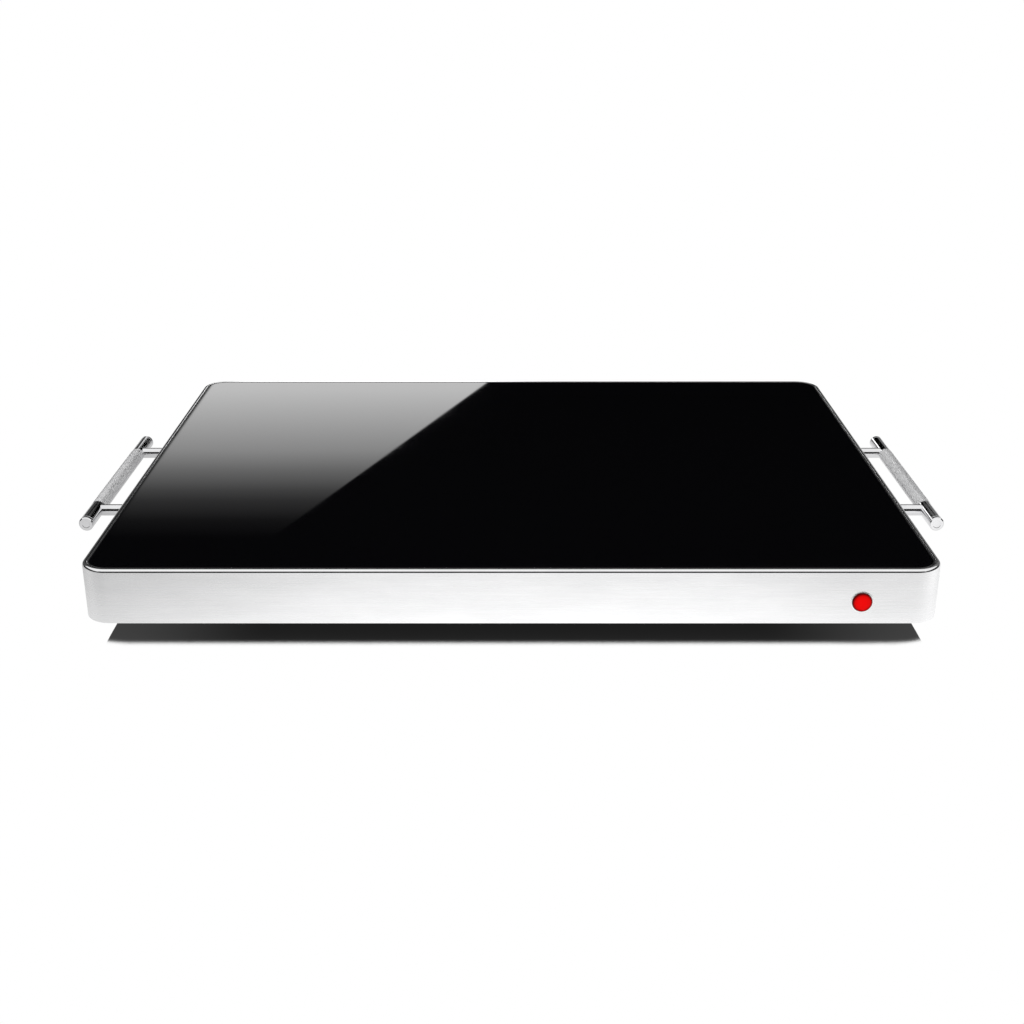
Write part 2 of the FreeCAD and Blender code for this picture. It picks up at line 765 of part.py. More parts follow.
def make_feet():
    """Draw the four rubber feet with the screws and nuts that hold them to the pan."""
    body = new_body("feet")
    cone = pad(body, "XY", FOOT_TOP, FOOT_TOP, circles(FOOT_PLACES, "foot_diameter"), False)
    cone.setExpression("TaperAngle", formula("-1 * foot_taper"))
    document.recompute()
    pocket(body, "XY", "0", "foot_recess_depth", circles(FOOT_PLACES, "foot_recess"))
    pocket(body, "XY", "0", FOOT_TOP,
           circles(FOOT_PLACES, "foot_screw_diameter + 2 * screw_clearance"))
    screws("foot_screws", "XY", FOOT_PLACES, "foot_screw_head", "foot_recess_depth",
           "foot_screw_head_height", "foot_screw_diameter", "foot_screw_length", True)
    nuts("foot_nuts", "XY", FOOT_PLACES, "foot_nut_width", "foot_screw_diameter",
         PAN_FLOOR, "foot_nut_height", True)


# Handles

def make_handle(side, sign):
    """Draw one T-bar handle: core rod, knurled sleeve, end tubes, end caps and posts."""
    column = f"{sign} * {BAR_COLUMN}"
    centre = [(column, BAR_HEIGHT)]
    core_half = "(handle_length / 2 - cap_thickness)"
    core = new_body(f"{side}_handle_core")
    pad(core, "XZ", f"-1 * {core_half}", f"2 * {core_half}", circles(centre, "handle_core"))
    bore = "handle_core + 2 * running_clearance"
    sleeve = new_body(f"{side}_grip_sleeve")
    pad(sleeve, "XZ", f"-1 * {GRIP_LENGTH} / 2", GRIP_LENGTH, rings(centre, "grip_diameter", bore))
    tubes = new_body(f"{side}_end_tubes")
    tube_length = f"({core_half} - {GRIP_LENGTH} / 2)"
    for back in (-1, 1):
        start = f"{GRIP_LENGTH} / 2" if back == 1 else f"-1 * {core_half}"
        pad(tubes, "XZ", start, tube_length, rings(centre, "handle_bar", bore))
    pocket(tubes, "YZ", f"{sign} * ({BAR_COLUMN} - handle_bar)", "handle_bar",
           circles(POST_PLACES, "post_diameter + 2 * running_clearance"), sign == 1)
    caps = new_body(f"{side}_end_caps")
    for back in (-1, 1):
        start = core_half if back == 1 else "-1 * handle_length / 2"
        disc = pad(caps, "XZ", start, "cap_thickness", circles(centre, "handle_bar"))
    ends = [edge for back in (-1, 1) for edge in edges_at(disc, "Y", back * number("handle_length") / 2)]
    chamfer = caps.newObject("PartDesign::Chamfer", f"{caps.Name}_chamfer")
    chamfer.Base = (disc, ends)
    chamfer.setExpression("Size", formula("cap_chamfer"))
    posts = new_body(f"{side}_handle_posts")
    post_length = "(handle_reach - handle_core / 2 - running_clearance)"
    outward = sign == 1
    wall = f"{sign} * {HALF_WIDTH}"
    pad(posts, "YZ", wall, post_length, circles(POST_PLACES, "post_diameter"), outward)
    pocket(posts, "YZ", wall, "post_thread_depth",
           circles(POST_PLACES, "handle_screw_diameter"), outward)


def make_handles():
    """Draw both handles and the screws and washers inside the skirt."""
    for side, sign in (("left", -1), ("right", 1)):
        make_handle(side, sign)
        inner = f"{sign} * {SIDE_WALL}"
        washer = new_body(f"{side}_handle_washers")
        pad(washer, "YZ", inner, "washer_thickness",
            rings(POST_PLACES, "washer_diameter", "handle_screw_diameter + 2 * screw_clearance"),
            sign == -1)
        seat = f"{sign} * ({SIDE_WALL} - washer_thickness)"
        head_end = f"{sign} * ({SIDE_WALL} - washer_thickness - handle_screw_head_height)"
        body = new_body(f"{side}_handle_screws")
        pad(body, "YZ", seat, "handle_screw_head_height",
            circles(POST_PLACES, "handle_screw_head"), sign == -1)
        pad(body, "YZ", seat, "post_thread_depth - washer_thickness",
            circles(POST_PLACES, "handle_screw_diameter"), sign == 1)
        pocket(body, "YZ", head_end, "handle_screw_head_height / 2",
               rectangles(POST_PLACES, "handle_screw_head * slot_length_share",
                          "handle_screw_head * slot_width_share"),
               sign == 1)


# Thermostat and its knob

def make_knob():
    """Draw the fluted control knob and the shaft that it turns."""
    centre = [("knob_offset", KNOB_HEIGHT)]
    knob = new_body("control_knob")
    grip = pad(knob, "XZ", KNOB_BACK, "knob_depth", circles(centre, "knob_diameter"))
    soften("Fillet", knob, grip, "Y", KNOB_FRONT, "knob_round")
    socket = f"({HALF_DEPTH} + bushing_length + socket_gap)"
    pocket(knob, "XZ", KNOB_BACK, f"{socket} - {KNOB_BACK}", circles(centre, "knob_recess"))
    pocket(knob, "XZ", socket, "shaft_in_knob",
           circles(centre, "shaft_diameter + 2 * running_clearance"))
    total = count("flute_count")
    ring = "(knob_diameter / 2 + flute_radius / 2)"
    flutes = [
        (f"knob_offset + {ring} * cos({turn})", f"{KNOB_HEIGHT} + {ring} * sin({turn})")
        for turn in (360 / total * (index + 0.5) for index in range(total))
    ]
    pocket(knob, "XZ", KNOB_BACK, "knob_depth - 2 * knob_round",
           circles(flutes, "2 * flute_radius"))
    pointer = f"{KNOB_HEIGHT} + knob_diameter / 2 - knob_round - pointer_length / 2 - flute_radius"
    pocket(knob, "XZ", KNOB_FRONT, "pointer_depth",
           rectangles([("knob_offset", pointer)], "pointer_width", "pointer_length"), False)
    shaft = new_body("thermostat_shaft")
    start = f"({REAR_WALL} - shaft_depth)"
    pad(shaft, "XZ", start, f"{socket} + shaft_in_knob - {start}",
        circles(centre, "shaft_diameter"))
    flat = f"{KNOB_HEIGHT} + shaft_diameter - shaft_flat"
    pocket(shaft, "XZ", socket, "shaft_in_knob",
           rectangles([("knob_offset", flat)], "shaft_diameter", "shaft_diameter"))


def make_thermostat():
    """Draw the thermostat block, its bushing and nut, tabs and sensor arm."""
    centre = [("knob_offset", KNOB_HEIGHT)]
    body = new_body("thermostat_body")
    pad(body, "XZ", THERMOSTAT_FACE, "thermostat_length",
        rectangles(centre, "thermostat_width", "thermostat_height"))
    pad(body, "XZ", REAR_WALL, "sheet_steel + bushing_length", circles(centre, "bushing_diameter"))
    bore_start = f"{REAR_WALL} - shaft_depth - screw_clearance"
    pocket(body, "XZ", bore_start, f"{HALF_DEPTH} + bushing_length - ({bore_start})",
           circles(centre, "shaft_diameter + 2 * running_clearance"))
    nuts("thermostat_nut", "XZ", centre, "bushing_nut_width", "bushing_diameter",
         HALF_DEPTH, "bushing_nut_height", True)
    tabs = new_body("thermostat_tabs")
    places = [(f"knob_offset + {right} * thermostat_width / 4",
               f"{KNOB_HEIGHT} - thermostat_height / 4") for right in (-1, 1)]
    pad(tabs, "XZ", f"{THERMOSTAT_FACE} - tab_length", "tab_length",
        rectangles(places, "tab_width", "tab_thickness"))
    arm = new_body("sensor_arm")
    pad(arm, "XY", f"{PLATE_BOTTOM} - sensor_thickness", "sensor_thickness",
        rectangles([("knob_offset", f"{THERMOSTAT_FACE} - (sensor_reach + "
                     f"{THERMOSTAT_FACE} - {HEATER_ROW} - {HEATER_DEPTH} / 2) / 2")],
                   "sensor_width",
                   f"sensor_reach + {THERMOSTAT_FACE} - {HEATER_ROW} - {HEATER_DEPTH} / 2"))


def make_fuse():
    """Draw the one-shot thermal fuse under the retaining plate, with its saddle and screws."""
    axis_height = f"({PLATE_BOTTOM} - fuse_diameter / 2)"
    centre = [(FUSE_ROW, axis_height)]
    fuse = new_body("thermal_fuse")
    pad(fuse, "YZ", "fuse_offset - fuse_length / 2", "fuse_length",
        circles(centre, "fuse_diameter"))
    for right, start in ((True, "fuse_offset + fuse_length / 2"),
                         (False, "fuse_offset - fuse_length / 2")):
        pad(fuse, "YZ", start, "fuse_lead_length", circles(centre, "fuse_lead"), right)
    clip = new_body("fuse_clip")
    inner = "(fuse_diameter / 2 + fit_clearance)"
    outer = CLIP_HALF
    low = f"({PLATE_BOTTOM} - fuse_diameter - fit_clearance)"
    profile = [
        (f"{FUSE_ROW} - {outer} - clip_foot", PLATE_BOTTOM),
        (f"{FUSE_ROW} - {inner}", PLATE_BOTTOM),
        (f"{FUSE_ROW} - {inner}", low),
        (f"{FUSE_ROW} + {inner}", low),
        (f"{FUSE_ROW} + {inner}", PLATE_BOTTOM),
        (f"{FUSE_ROW} + {outer} + clip_foot", PLATE_BOTTOM),
        (f"{FUSE_ROW} + {outer} + clip_foot", f"{PLATE_BOTTOM} - clip_thickness"),
        (f"{FUSE_ROW} + {outer}", f"{PLATE_BOTTOM} - clip_thickness"),
        (f"{FUSE_ROW} + {outer}", f"{low} - clip_thickness"),
        (f"{FUSE_ROW} - {outer}", f"{low} - clip_thickness"),
        (f"{FUSE_ROW} - {outer}", f"{PLATE_BOTTOM} - clip_thickness"),
        (f"{FUSE_ROW} - {outer} - clip_foot", f"{PLATE_BOTTOM} - clip_thickness"),
    ]
    pad(clip, "YZ", "fuse_offset - clip_width / 2", "clip_width", lambda s: outline(s, profile))
    places = CLIP_SCREW_PLACES
    pocket(clip, "XY", PLATE_BOTTOM, "clip_thickness", circles(places, "clip_screw_diameter"),
           False)
    body = new_body("fuse_clip_screws")
    pad(body, "XY", f"{PLATE_BOTTOM} - clip_thickness", "clip_screw_head_height",
        circles(places, "clip_screw_head"), False)
    pad(body, "XY", f"{PLATE_BOTTOM} - clip_thickness", "clip_thickness + plate_thickness",
        circles(places, "clip_screw_diameter"))


# Pilot lamp

def make_lamp():
    """Draw the pilot lamp: lens with its tube, neon bulb, base and push-on ring."""
    centre = [(LAMP_COLUMN, LAMP_HEIGHT)]
    front = f"(-1 * {HALF_DEPTH})"
    lens = new_body("pilot_lamp_lens")
    flange = pad(lens, "XZ", f"{front} - lamp_flange - lamp_dome", "lamp_flange + lamp_dome",
                 circles(centre, "lamp_diameter"))
    soften("Fillet", lens, flange, "Y", f"{front} - lamp_flange - lamp_dome",
           "lamp_dome")
    pad(lens, "XZ", front, "lamp_tube_length", circles(centre, "lamp_tube"))
    pocket(lens, "XZ", front, "lamp_tube_length", circles(centre, "lamp_tube - 2 * lamp_wall"))
    tube_end = f"({front} + lamp_tube_length)"
    base = new_body("pilot_lamp_body")
    pad(base, "XZ", tube_end, "lamp_body_length", circles(centre, "lamp_body_diameter"))
    bulb = new_body("neon_bulb")
    glass = pad(bulb, "XZ", f"{tube_end} - bulb_length", "bulb_length",
                circles(centre, "bulb_diameter"))
    soften("Fillet", bulb, glass, "Y", f"{tube_end} - bulb_length", "bulb_round")
    ring = new_body("lamp_push_ring")
    pad(ring, "XZ", f"{front} + sheet_steel", "ring_thickness",
        rings(centre, "ring_diameter", "lamp_tube"))


# Appliance inlet

def make_inlet():
    """Draw the appliance inlet: housing with its recess, three pins, screws and nuts."""
    centre = [("inlet_offset", INLET_HEIGHT)]
    housing = new_body("inlet_housing")
    rim = f"({HALF_DEPTH} + inlet_flange)"
    pad(housing, "XZ", HALF_DEPTH, "inlet_flange",
        rectangles(centre, "inlet_flange_width", "inlet_flange_height"))
    pad(housing, "XZ", INLET_BACK, "inlet_body_depth",
        rectangles(centre, "inlet_body_width", "inlet_body_height"))
    pocket(housing, "XZ", rim, "recess_depth",
           rectangles(centre, "recess_width", "recess_height"), False)
    pocket(housing, "XZ", rim, "inlet_flange",
           circles(INLET_SCREW_PLACES, "inlet_screw_diameter + 2 * screw_clearance"), False)
    line_pins = [(f"inlet_offset + {right} * pin_spacing", f"{INLET_HEIGHT} - pin_stagger")
                 for right in (-1, 1)]
    earth_pin = ("inlet_offset", f"{INLET_HEIGHT} + pin_stagger")
    pins = line_pins + [earth_pin]
    slot = rectangles(pins, "pin_thickness", "pin_height")
    pocket(housing, "XZ", RECESS_FLOOR, f"{RECESS_FLOOR} - {INLET_BACK}", slot, False)
    blades = new_body("inlet_pins")
    pad(blades, "XZ", f"{INLET_BACK} - tab_length",
        f"{RECESS_FLOOR} + pin_length - {INLET_BACK} + tab_length", slot)
    screws("inlet_screws", "XZ", INLET_SCREW_PLACES, "inlet_screw_head", rim,
           "inlet_screw_head_height", "inlet_screw_diameter", "inlet_screw_length", False)
    nuts("inlet_nuts", "XZ", INLET_SCREW_PLACES, "inlet_nut_width", "inlet_screw_diameter",
         REAR_WALL, "inlet_nut_height", False)


# Terminal block and earth stud

def block_ways():
    """Space the terminal block's ways evenly about its middle."""
    total = count("way_count")
    return [f"block_offset + ({index} - ({total} - 1) / 2) * block_pitch"
            for index in range(total)]


def make_terminals():
    """Draw the terminal block with its clamps, its fixing screws and the earth stud."""
    ways = block_ways()
    axis_height = f"({PAN_FLOOR} + bore_rise)"
    block = new_body("terminal_block")
    block_width = f"({len(ways) - 1} * block_pitch + 2 * block_end)"
    pad(block, "XY", PAN_FLOOR, "block_height",
        rectangles([("block_offset", BLOCK_ROW)], block_width, "block_length"))
    start = f"({BLOCK_ROW} - block_length / 2)"
    bores = [(way, axis_height) for way in ways]
    pocket(block, "XZ", start, "block_length", circles(bores, "bore_diameter"))
    wells = [(way, BLOCK_ROW) for way in ways]
    well_depth = "block_height - bore_rise"
    pocket(block, "XY", f"{PAN_FLOOR} + block_height", well_depth,
           circles(wells, "clamp_screw_diameter + 2 * screw_clearance"), False)
    fixings = [(f"{way} + block_pitch / 2", BLOCK_ROW) for way in (ways[0], ways[-2])]
    pocket(block, "XY", f"{PAN_FLOOR} + block_height", "block_height",
           circles(fixings, "block_screw_diameter"), False)
    clamps = new_body("terminal_clamps")
    pad(clamps, "XZ", f"{start} + fit_clearance", "block_length - 2 * fit_clearance",
        rings(bores, "clamp_diameter", "clamp_diameter - 2 * clamp_wall"))
    clamp_screws = new_body("terminal_screws")
    pad(clamp_screws, "XY", f"{axis_height} + clamp_diameter / 2", "clamp_screw_length",
        circles(wells, "clamp_screw_diameter"))
    screws("block_screws", "XY", fixings, "block_screw_head", f"{PAN_FLOOR} + block_height",
           "block_screw_head_height", "block_screw_diameter", "block_height", False)
    place = [(EARTH_COLUMN, EARTH_ROW)]
    stud = new_body("earth_stud")
    pad(stud, "XY", PAN_FLOOR, "earth_stud_length", circles(place, "earth_stud_diameter"))
    nuts("earth_nut", "XY", place, "earth_nut_width", "earth_stud_diameter",
         PAN_FLOOR, "earth_nut_height", True)


# Wiring

def rounded_path(places):
    """Join points by straight runs with tangent arcs at the corners."""
    edges = []
    here = places[0]
    for before, corner, after in zip(places, places[1:], places[2:]):
        inward = (before - corner).normalize()
        outward = (after - corner).normalize()
        turn = math.pi - inward.getAngle(outward)
        shorter = min((before - corner).Length, (after - corner).Length)
        back = number("lead_bend") * shorter
        radius = back / math.tan(turn / 2)
        first = corner + inward * back
        last = corner + outward * back
        bisector = (inward + outward).normalize()
        centre = corner + bisector * math.hypot(back, radius)
        middle = centre - bisector * radius
        edges.append(Part.LineSegment(here, first).toShape())
        edges.append(Part.Arc(first, middle, last).toShape())
        here = last
    edges.append(Part.LineSegment(here, places[-1]).toShape())
    return Part.Wire(edges)


def sweep(points, diameter):
    """Sweep a round lead along points given as triples of formulas."""
    places = [FreeCAD.Vector(*(number(text) for text in point)) for point in points]
    path = rounded_path(places)
    section = Part.Wire(Part.makeCircle(number(diameter) / 2, places[0], places[1] - places[0]))
    solid = path.makePipeShell([section], True, False)
    area = math.pi * number(diameter) ** 2 / 4
    print(f"  lead {path.Length:.1f} mm long, volume ratio {solid.Volume / area / path.Length:.4f}")
    return solid


def make_lead(label, routes, diameter):
    """Make one kind of internal lead from its routes."""
    lead = document.addObject("Part::Feature", label)
    lead.Label = label
    lead.Shape = Part.makeCompound([sweep(points, diameter) for points in routes])
    lead.setExpression("Placement.Base.y", formula(MIDDLE_SHIFT))
    parts.append(lead)


def make_wiring():
    """Run the internal leads: rear bay, fuse, heater tails and down the right side to the lamp."""
    tab_end = f"({INLET_BACK} - tab_length)"
    pin_row = f"({INLET_HEIGHT} - pin_stagger)"
    earth_pin_height = f"({INLET_HEIGHT} + pin_stagger)"
    in_block = f"({BLOCK_ROW} - block_length / 4)"
    bore_height = f"({PAN_FLOOR} + bore_rise)"
    tab_row = f"({THERMOSTAT_FACE} - tab_length)"
    tab_height = f"({KNOB_HEIGHT} - thermostat_height / 4)"
    live_tab = "(inlet_offset + pin_spacing)"
    neutral_tab = "(inlet_offset - pin_spacing)"
    near_tab = "(knob_offset - thermostat_width / 4)"
    far_tab = "(knob_offset + thermostat_width / 4)"
    ways = block_ways()
    make_lead("live_lead", [[
        (live_tab, tab_end, pin_row),
        (live_tab, f"{tab_end} - live_exit", pin_row),
        (near_tab, f"{tab_row} - live_exit", tab_height),
        (near_tab, tab_row, tab_height),
    ]], "lead_diameter")
    make_lead("neutral_lead", [[
        (neutral_tab, tab_end, pin_row),
        (neutral_tab, f"{tab_end} - neutral_exit", pin_row),
        (ways[0], f"{in_block} - neutral_exit", bore_height),
        (ways[0], in_block, bore_height),
    ]], "lead_diameter")
    earth_top = f"({PAN_FLOOR} + earth_nut_height + lead_diameter / 2)"
    stud_edge = f"({EARTH_ROW} - earth_stud_diameter / 2)"
    make_lead("earth_lead", [[
        ("inlet_offset", tab_end, earth_pin_height),
        ("inlet_offset", f"{tab_end} - live_exit", earth_pin_height),
        ("inlet_offset - earth_jog", f"{tab_end} - neutral_exit", earth_pin_height),
        (EARTH_COLUMN, f"{stud_edge} - earth_run", earth_top),
        (EARTH_COLUMN, stud_edge, earth_top),
    ]], "lead_diameter")
    fuse_height = f"({PLATE_BOTTOM} - fuse_diameter / 2)"
    fuse_end = "(fuse_length / 2 + fuse_lead_length)"
    low_run = f"({STRAP_BOTTOM} - 2 * lead_diameter)"
    make_lead("thermostat_lead", [[
        (far_tab, tab_row, tab_height),
        (far_tab, f"{tab_row} - thermostat_exit", tab_height),
        (f"{far_tab} - thermostat_jog", f"{FUSE_ROW} + thermostat_pass", low_run),
        (f"fuse_offset + {fuse_end} + fuse_run", FUSE_ROW, fuse_height),
        (f"fuse_offset + {fuse_end}", FUSE_ROW, fuse_height),
    ]], "lead_diameter")
    tail = f"(-1 * ({HEATER_HALF} + ribbon_tail / 2))"
    rows = ribbon_rows()
    make_lead("element_leads", [
        [
            (tail, rows[0], RIBBON_BOTTOM),
            (tail, rows[0], f"{RIBBON_BOTTOM} - front_tail_drop"),
            (f"{tail} + front_tail_jog", f"{rows[0]} + fuse_run", low_run),
            (f"fuse_offset - {fuse_end} - fuse_run", f"{FUSE_ROW} - fuse_run", low_run),
            (f"fuse_offset - {fuse_end} - fuse_exit", FUSE_ROW, fuse_height),
            (f"fuse_offset - {fuse_end}", FUSE_ROW, fuse_height),
        ],
        [
            (tail, rows[-1], RIBBON_BOTTOM),
            (tail, rows[-1], f"{RIBBON_BOTTOM} - rear_tail_drop"),
            (ways[1], f"{in_block} - element_exit", bore_height),
            (ways[1], in_block, bore_height),
        ],
    ], "lead_diameter")
    lamp_end = f"(lamp_tube_length + lamp_body_length - {HALF_DEPTH})"
    side_run = f"({HALF_WIDTH} - lamp_side_gap)"
    lamp_routes = []
    for index, way in ((1, ways[-2]), (-1, ways[-1])):
        apart = f"({index} * lamp_lead_diameter * lamp_lead_spread)"
        height = f"({bore_height} + {1 - index} * lamp_lead_diameter)"
        lamp_routes.append([
            (way, in_block, bore_height),
            (way, f"{in_block} - lamp_exit - {apart}", bore_height),
            (f"{side_run} + {apart}", f"{in_block} - lamp_turn - {apart}", height),
            (f"{side_run} + {apart}", f"{lamp_end} + lamp_rise", height),
            (f"{LAMP_COLUMN} + {apart}", f"{lamp_end} + lamp_end_run", LAMP_HEIGHT),
            (f"{LAMP_COLUMN} + {apart}", lamp_end, LAMP_HEIGHT),
        ])
    make_lead("lamp_leads", lamp_routes, "lamp_lead_diameter")


def check():
    """Stop if any object failed, or a piece has no valid shape."""
    document.recompute()
    for item in document.Objects:
        if "Invalid" in item.State or "Error" in item.State:
            raise RuntimeError(f"{item.Label} is {item.State}")
    for piece in parts:
        if piece.Shape.isNull() or not piece.Shape.isValid() or not piece.Shape.Solids:
            raise RuntimeError(f"{piece.Label} has no valid shape")


def write():
    """Write each piece to its own file."""
    os.makedirs("parts", exist_ok=True)
    for piece in parts:
        piece.Shape.exportStep(f"parts/{piece.Label}.step")
        box = piece.Shape.BoundBox
        print(f"{piece.Label}: {len(piece.Shape.Solids)} solids, "
              f"{box.XLength:.1f} x {box.YLength:.1f} x {box.ZLength:.1f}")


fill_sheet()
make_surround()
make_glass()
make_heater()
make_pan()
make_feet()
make_handles()
make_thermostat()
make_knob()
make_fuse()
make_lamp()
make_inlet()
make_terminals()
make_wiring()
check()
write()
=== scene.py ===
import json
import math

import bmesh
import bpy
from mathutils import Matrix, Vector


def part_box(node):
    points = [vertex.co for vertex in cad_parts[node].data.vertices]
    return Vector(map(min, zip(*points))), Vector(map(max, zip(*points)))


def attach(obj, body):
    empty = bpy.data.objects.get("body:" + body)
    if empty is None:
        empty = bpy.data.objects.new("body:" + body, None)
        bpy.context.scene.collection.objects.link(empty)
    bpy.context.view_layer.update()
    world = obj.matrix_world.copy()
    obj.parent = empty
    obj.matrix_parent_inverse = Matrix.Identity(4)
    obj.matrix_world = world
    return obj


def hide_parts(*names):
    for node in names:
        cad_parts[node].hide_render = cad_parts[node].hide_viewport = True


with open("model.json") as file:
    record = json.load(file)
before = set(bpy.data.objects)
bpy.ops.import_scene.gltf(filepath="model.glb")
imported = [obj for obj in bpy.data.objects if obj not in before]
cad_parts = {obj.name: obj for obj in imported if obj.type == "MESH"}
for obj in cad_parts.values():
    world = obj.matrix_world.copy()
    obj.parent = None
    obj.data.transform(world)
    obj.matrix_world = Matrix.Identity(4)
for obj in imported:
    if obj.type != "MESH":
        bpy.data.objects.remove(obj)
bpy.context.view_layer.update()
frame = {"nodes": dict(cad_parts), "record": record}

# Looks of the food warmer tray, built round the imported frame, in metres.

MM = 0.001

# Steps round turned shapes
ROUND_STEPS = 48
BAR_STEPS = 64
SLEEVE_STEPS = 144
FOOT_STEPS = 40
SCREW_STEPS = 24
LENS_FACETS = 24
STEPS_PER_FLUTE = 8

# Bodies of the frame that pieces ride on
TRAY = "tray"
DIAL = "heat_knob"

# Sizes that repeat the built ones, where the frame's boxes don't give them
CORNER_RADIUS = 18.0 * MM
SHEET = 0.8 * MM
LIP_WIDTH = 3.0 * MM
LIP_ROUND = 2.0 * MM
LEDGE_WIDTH = 10.0 * MM
FLANGE_WIDTH = 13.2 * MM
SEAL_WIDTH = 0.6 * MM
POST_DIAMETER = 8.0 * MM
LAMP_TUBE = 9.6 * MM
BUSHING = 9.5 * MM
INLET_BODY = (30.0 * MM, 22.0 * MM)
INLET_MOUTH = (24.4 * MM, 16.4 * MM)
INLET_MOUTH_DEPTH = 17.0 * MM
VENT_WIDTH = 4.0 * MM
VENT_LENGTH = 30.0 * MM
VENT_PITCH = 9.0 * MM
VENT_COUNT = 9
VENT_ROW = 120.0 * MM
PAN_FLANGE = 4.0 * MM
PAN_STEP = 14.0 * MM
PAN_DROP = 2.2 * MM
FOOT_DIAMETER = 22.0 * MM
FOOT_TREAD = 9.99 * MM
FOOT_RECESS = 5.5 * MM
FOOT_RECESS_DEPTH = 5.0 * MM
SEAL_BED = 8.0 * MM
SEAL_DROP = 0.2 * MM
GLASS_BEVEL = 0.8 * MM

skirt_low, skirt_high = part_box("steel_surround")
WIDTH = skirt_high.x - skirt_low.x
DEPTH = skirt_high.y - skirt_low.y
MIDDLE = (skirt_low + skirt_high) / 2
TOP = skirt_high.z
SKIRT_FOOT = skirt_low.z
ABOUT_TRAY = Matrix.Translation((MIDDLE.x, MIDDLE.y, 0.0))


# Meshes

def linked(name, data):
    """Put data into the scene as an object."""
    piece = bpy.data.objects.new(name, data)
    bpy.context.scene.collection.objects.link(piece)
    return piece


def plain_mesh(carrier, *tools):
    """Give the plain mesh that a carrier's modifiers make, and remove the carrier and its tools."""
    seen = carrier.evaluated_get(bpy.context.evaluated_depsgraph_get())
    result = bpy.data.meshes.new_from_object(seen)
    for item in (carrier, *tools):
        bpy.data.objects.remove(item)
    return result


def keep(name, mesh, body, node=None, material=None, smooth=35):
    """Link a finished mesh as a piece that rides a body, and let it stand for a CAD node."""
    piece = linked(name, mesh)
    if smooth:
        piece.data = mesh = softened(mesh, smooth)
    if material:
        mesh.materials.clear()
        mesh.materials.append(material)
    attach(piece, body)
    if node:
        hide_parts(*([node] if isinstance(node, str) else node))
    return piece


def softened(mesh, angle):
    """Smooth a mesh up to an angle, with large flats kept flat by weighted normals."""
    mesh.shade_smooth()
    mesh.set_sharp_from_angle(angle=math.radians(angle))
    carrier = linked("carrier", mesh)
    weighting = carrier.modifiers.new("flats", "WEIGHTED_NORMAL")
    weighting.keep_sharp = True
    weighting.weight = 90
    return plain_mesh(carrier)


def slot_of(node):
    """Read a CAD node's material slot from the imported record."""
    rows = frame["record"]["subparts"]
    return next(row["material_slot"] for row in rows if row["node"] == node)


def rounded(width, depth, radius, steps=12):
    """List the points of a rounded rectangle about the origin, counter-clockwise."""
    points = []
    for right, back, turn in ((1, -1, -90), (1, 1, 0), (-1, 1, 90), (-1, -1, 180)):
        for step in range(steps + 1):
            angle = math.radians(turn + 90 * step / steps)
            x = right * (width / 2 - radius) + radius * math.cos(angle)
            y = back * (depth / 2 - radius) + radius * math.sin(angle)
            points.append((x, y))
    return points


def ring(radius, steps=ROUND_STEPS, wave=0.0, waves=0):
    """List the points of a circle, with an optional wavy outline for flutes."""
    points = []
    for step in range(steps):
        angle = 2 * math.pi * step / steps
        reach = radius - wave * max(0.0, math.cos(waves * angle)) ** 2
        points.append((reach * math.cos(angle), reach * math.sin(angle)))
    return points


def stack(layers, place=None, closed=False):
    """Join rings of equally many points, given as (points, height), and cap the ends."""
    shape = bmesh.new()
    rows = [[shape.verts.new((x, y, height)) for x, y in points] for points, height in layers]
    pairs = list(zip(rows, rows[1:]))
    if closed:
        pairs.append((rows[-1], rows[0]))
    for low, high in pairs:
        for index in range(len(low)):
            after = (index + 1) % len(low)
            shape.faces.new((low[index], low[after], high[after], high[index]))
    if not closed:
        shape.faces.new(list(reversed(rows[0])))
        shape.faces.new(rows[-1])
    bmesh.ops.recalc_face_normals(shape, faces=shape.faces)
    mesh = bpy.data.meshes.new("stack")
    shape.to_mesh(mesh)
    shape.free()
    if place:
        mesh.transform(place)
    return mesh


def plates(width, depth, radius, levels, place, steps=12):
    """Stack rounded rectangles given as (inset, height)."""
    layers = [
        (rounded(width - 2 * inset, depth - 2 * inset, max(radius - inset, 0.2 * MM), steps), height)
        for inset, height in levels
    ]
    return stack(layers, place)


def lathe(profile, place, steps=ROUND_STEPS, closed=False):
    """Turn a profile of (radius, height) about its height."""
    return stack([(ring(radius, steps), height) for radius, height in profile], place, closed)


def merged(meshes):
    """Join meshes into one."""
    shape = bmesh.new()
    for mesh in meshes:
        shape.from_mesh(mesh)
    result = bpy.data.meshes.new("merged")
    shape.to_mesh(result)
    shape.free()
    return result


def along_x(middle, sign=1):
    """Place a turned shape with its height along X."""
    return Matrix.Translation(middle) @ Matrix.Rotation(sign * math.pi / 2, 4, "Y")


def along_y(middle, sign=1):
    """Place a turned shape with its height along Y."""
    return Matrix.Translation(middle) @ Matrix.Rotation(-sign * math.pi / 2, 4, "X")


def centre_of(node):
    """Find the middle of a CAD node's box."""
    low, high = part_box(node)
    return (low + high) / 2


def front_of(node):
    """Find the middle of the front of a CAD node's box."""
    middle = centre_of(node)
    return Vector((middle.x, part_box(node)[0].y, middle.z))


# Node trees

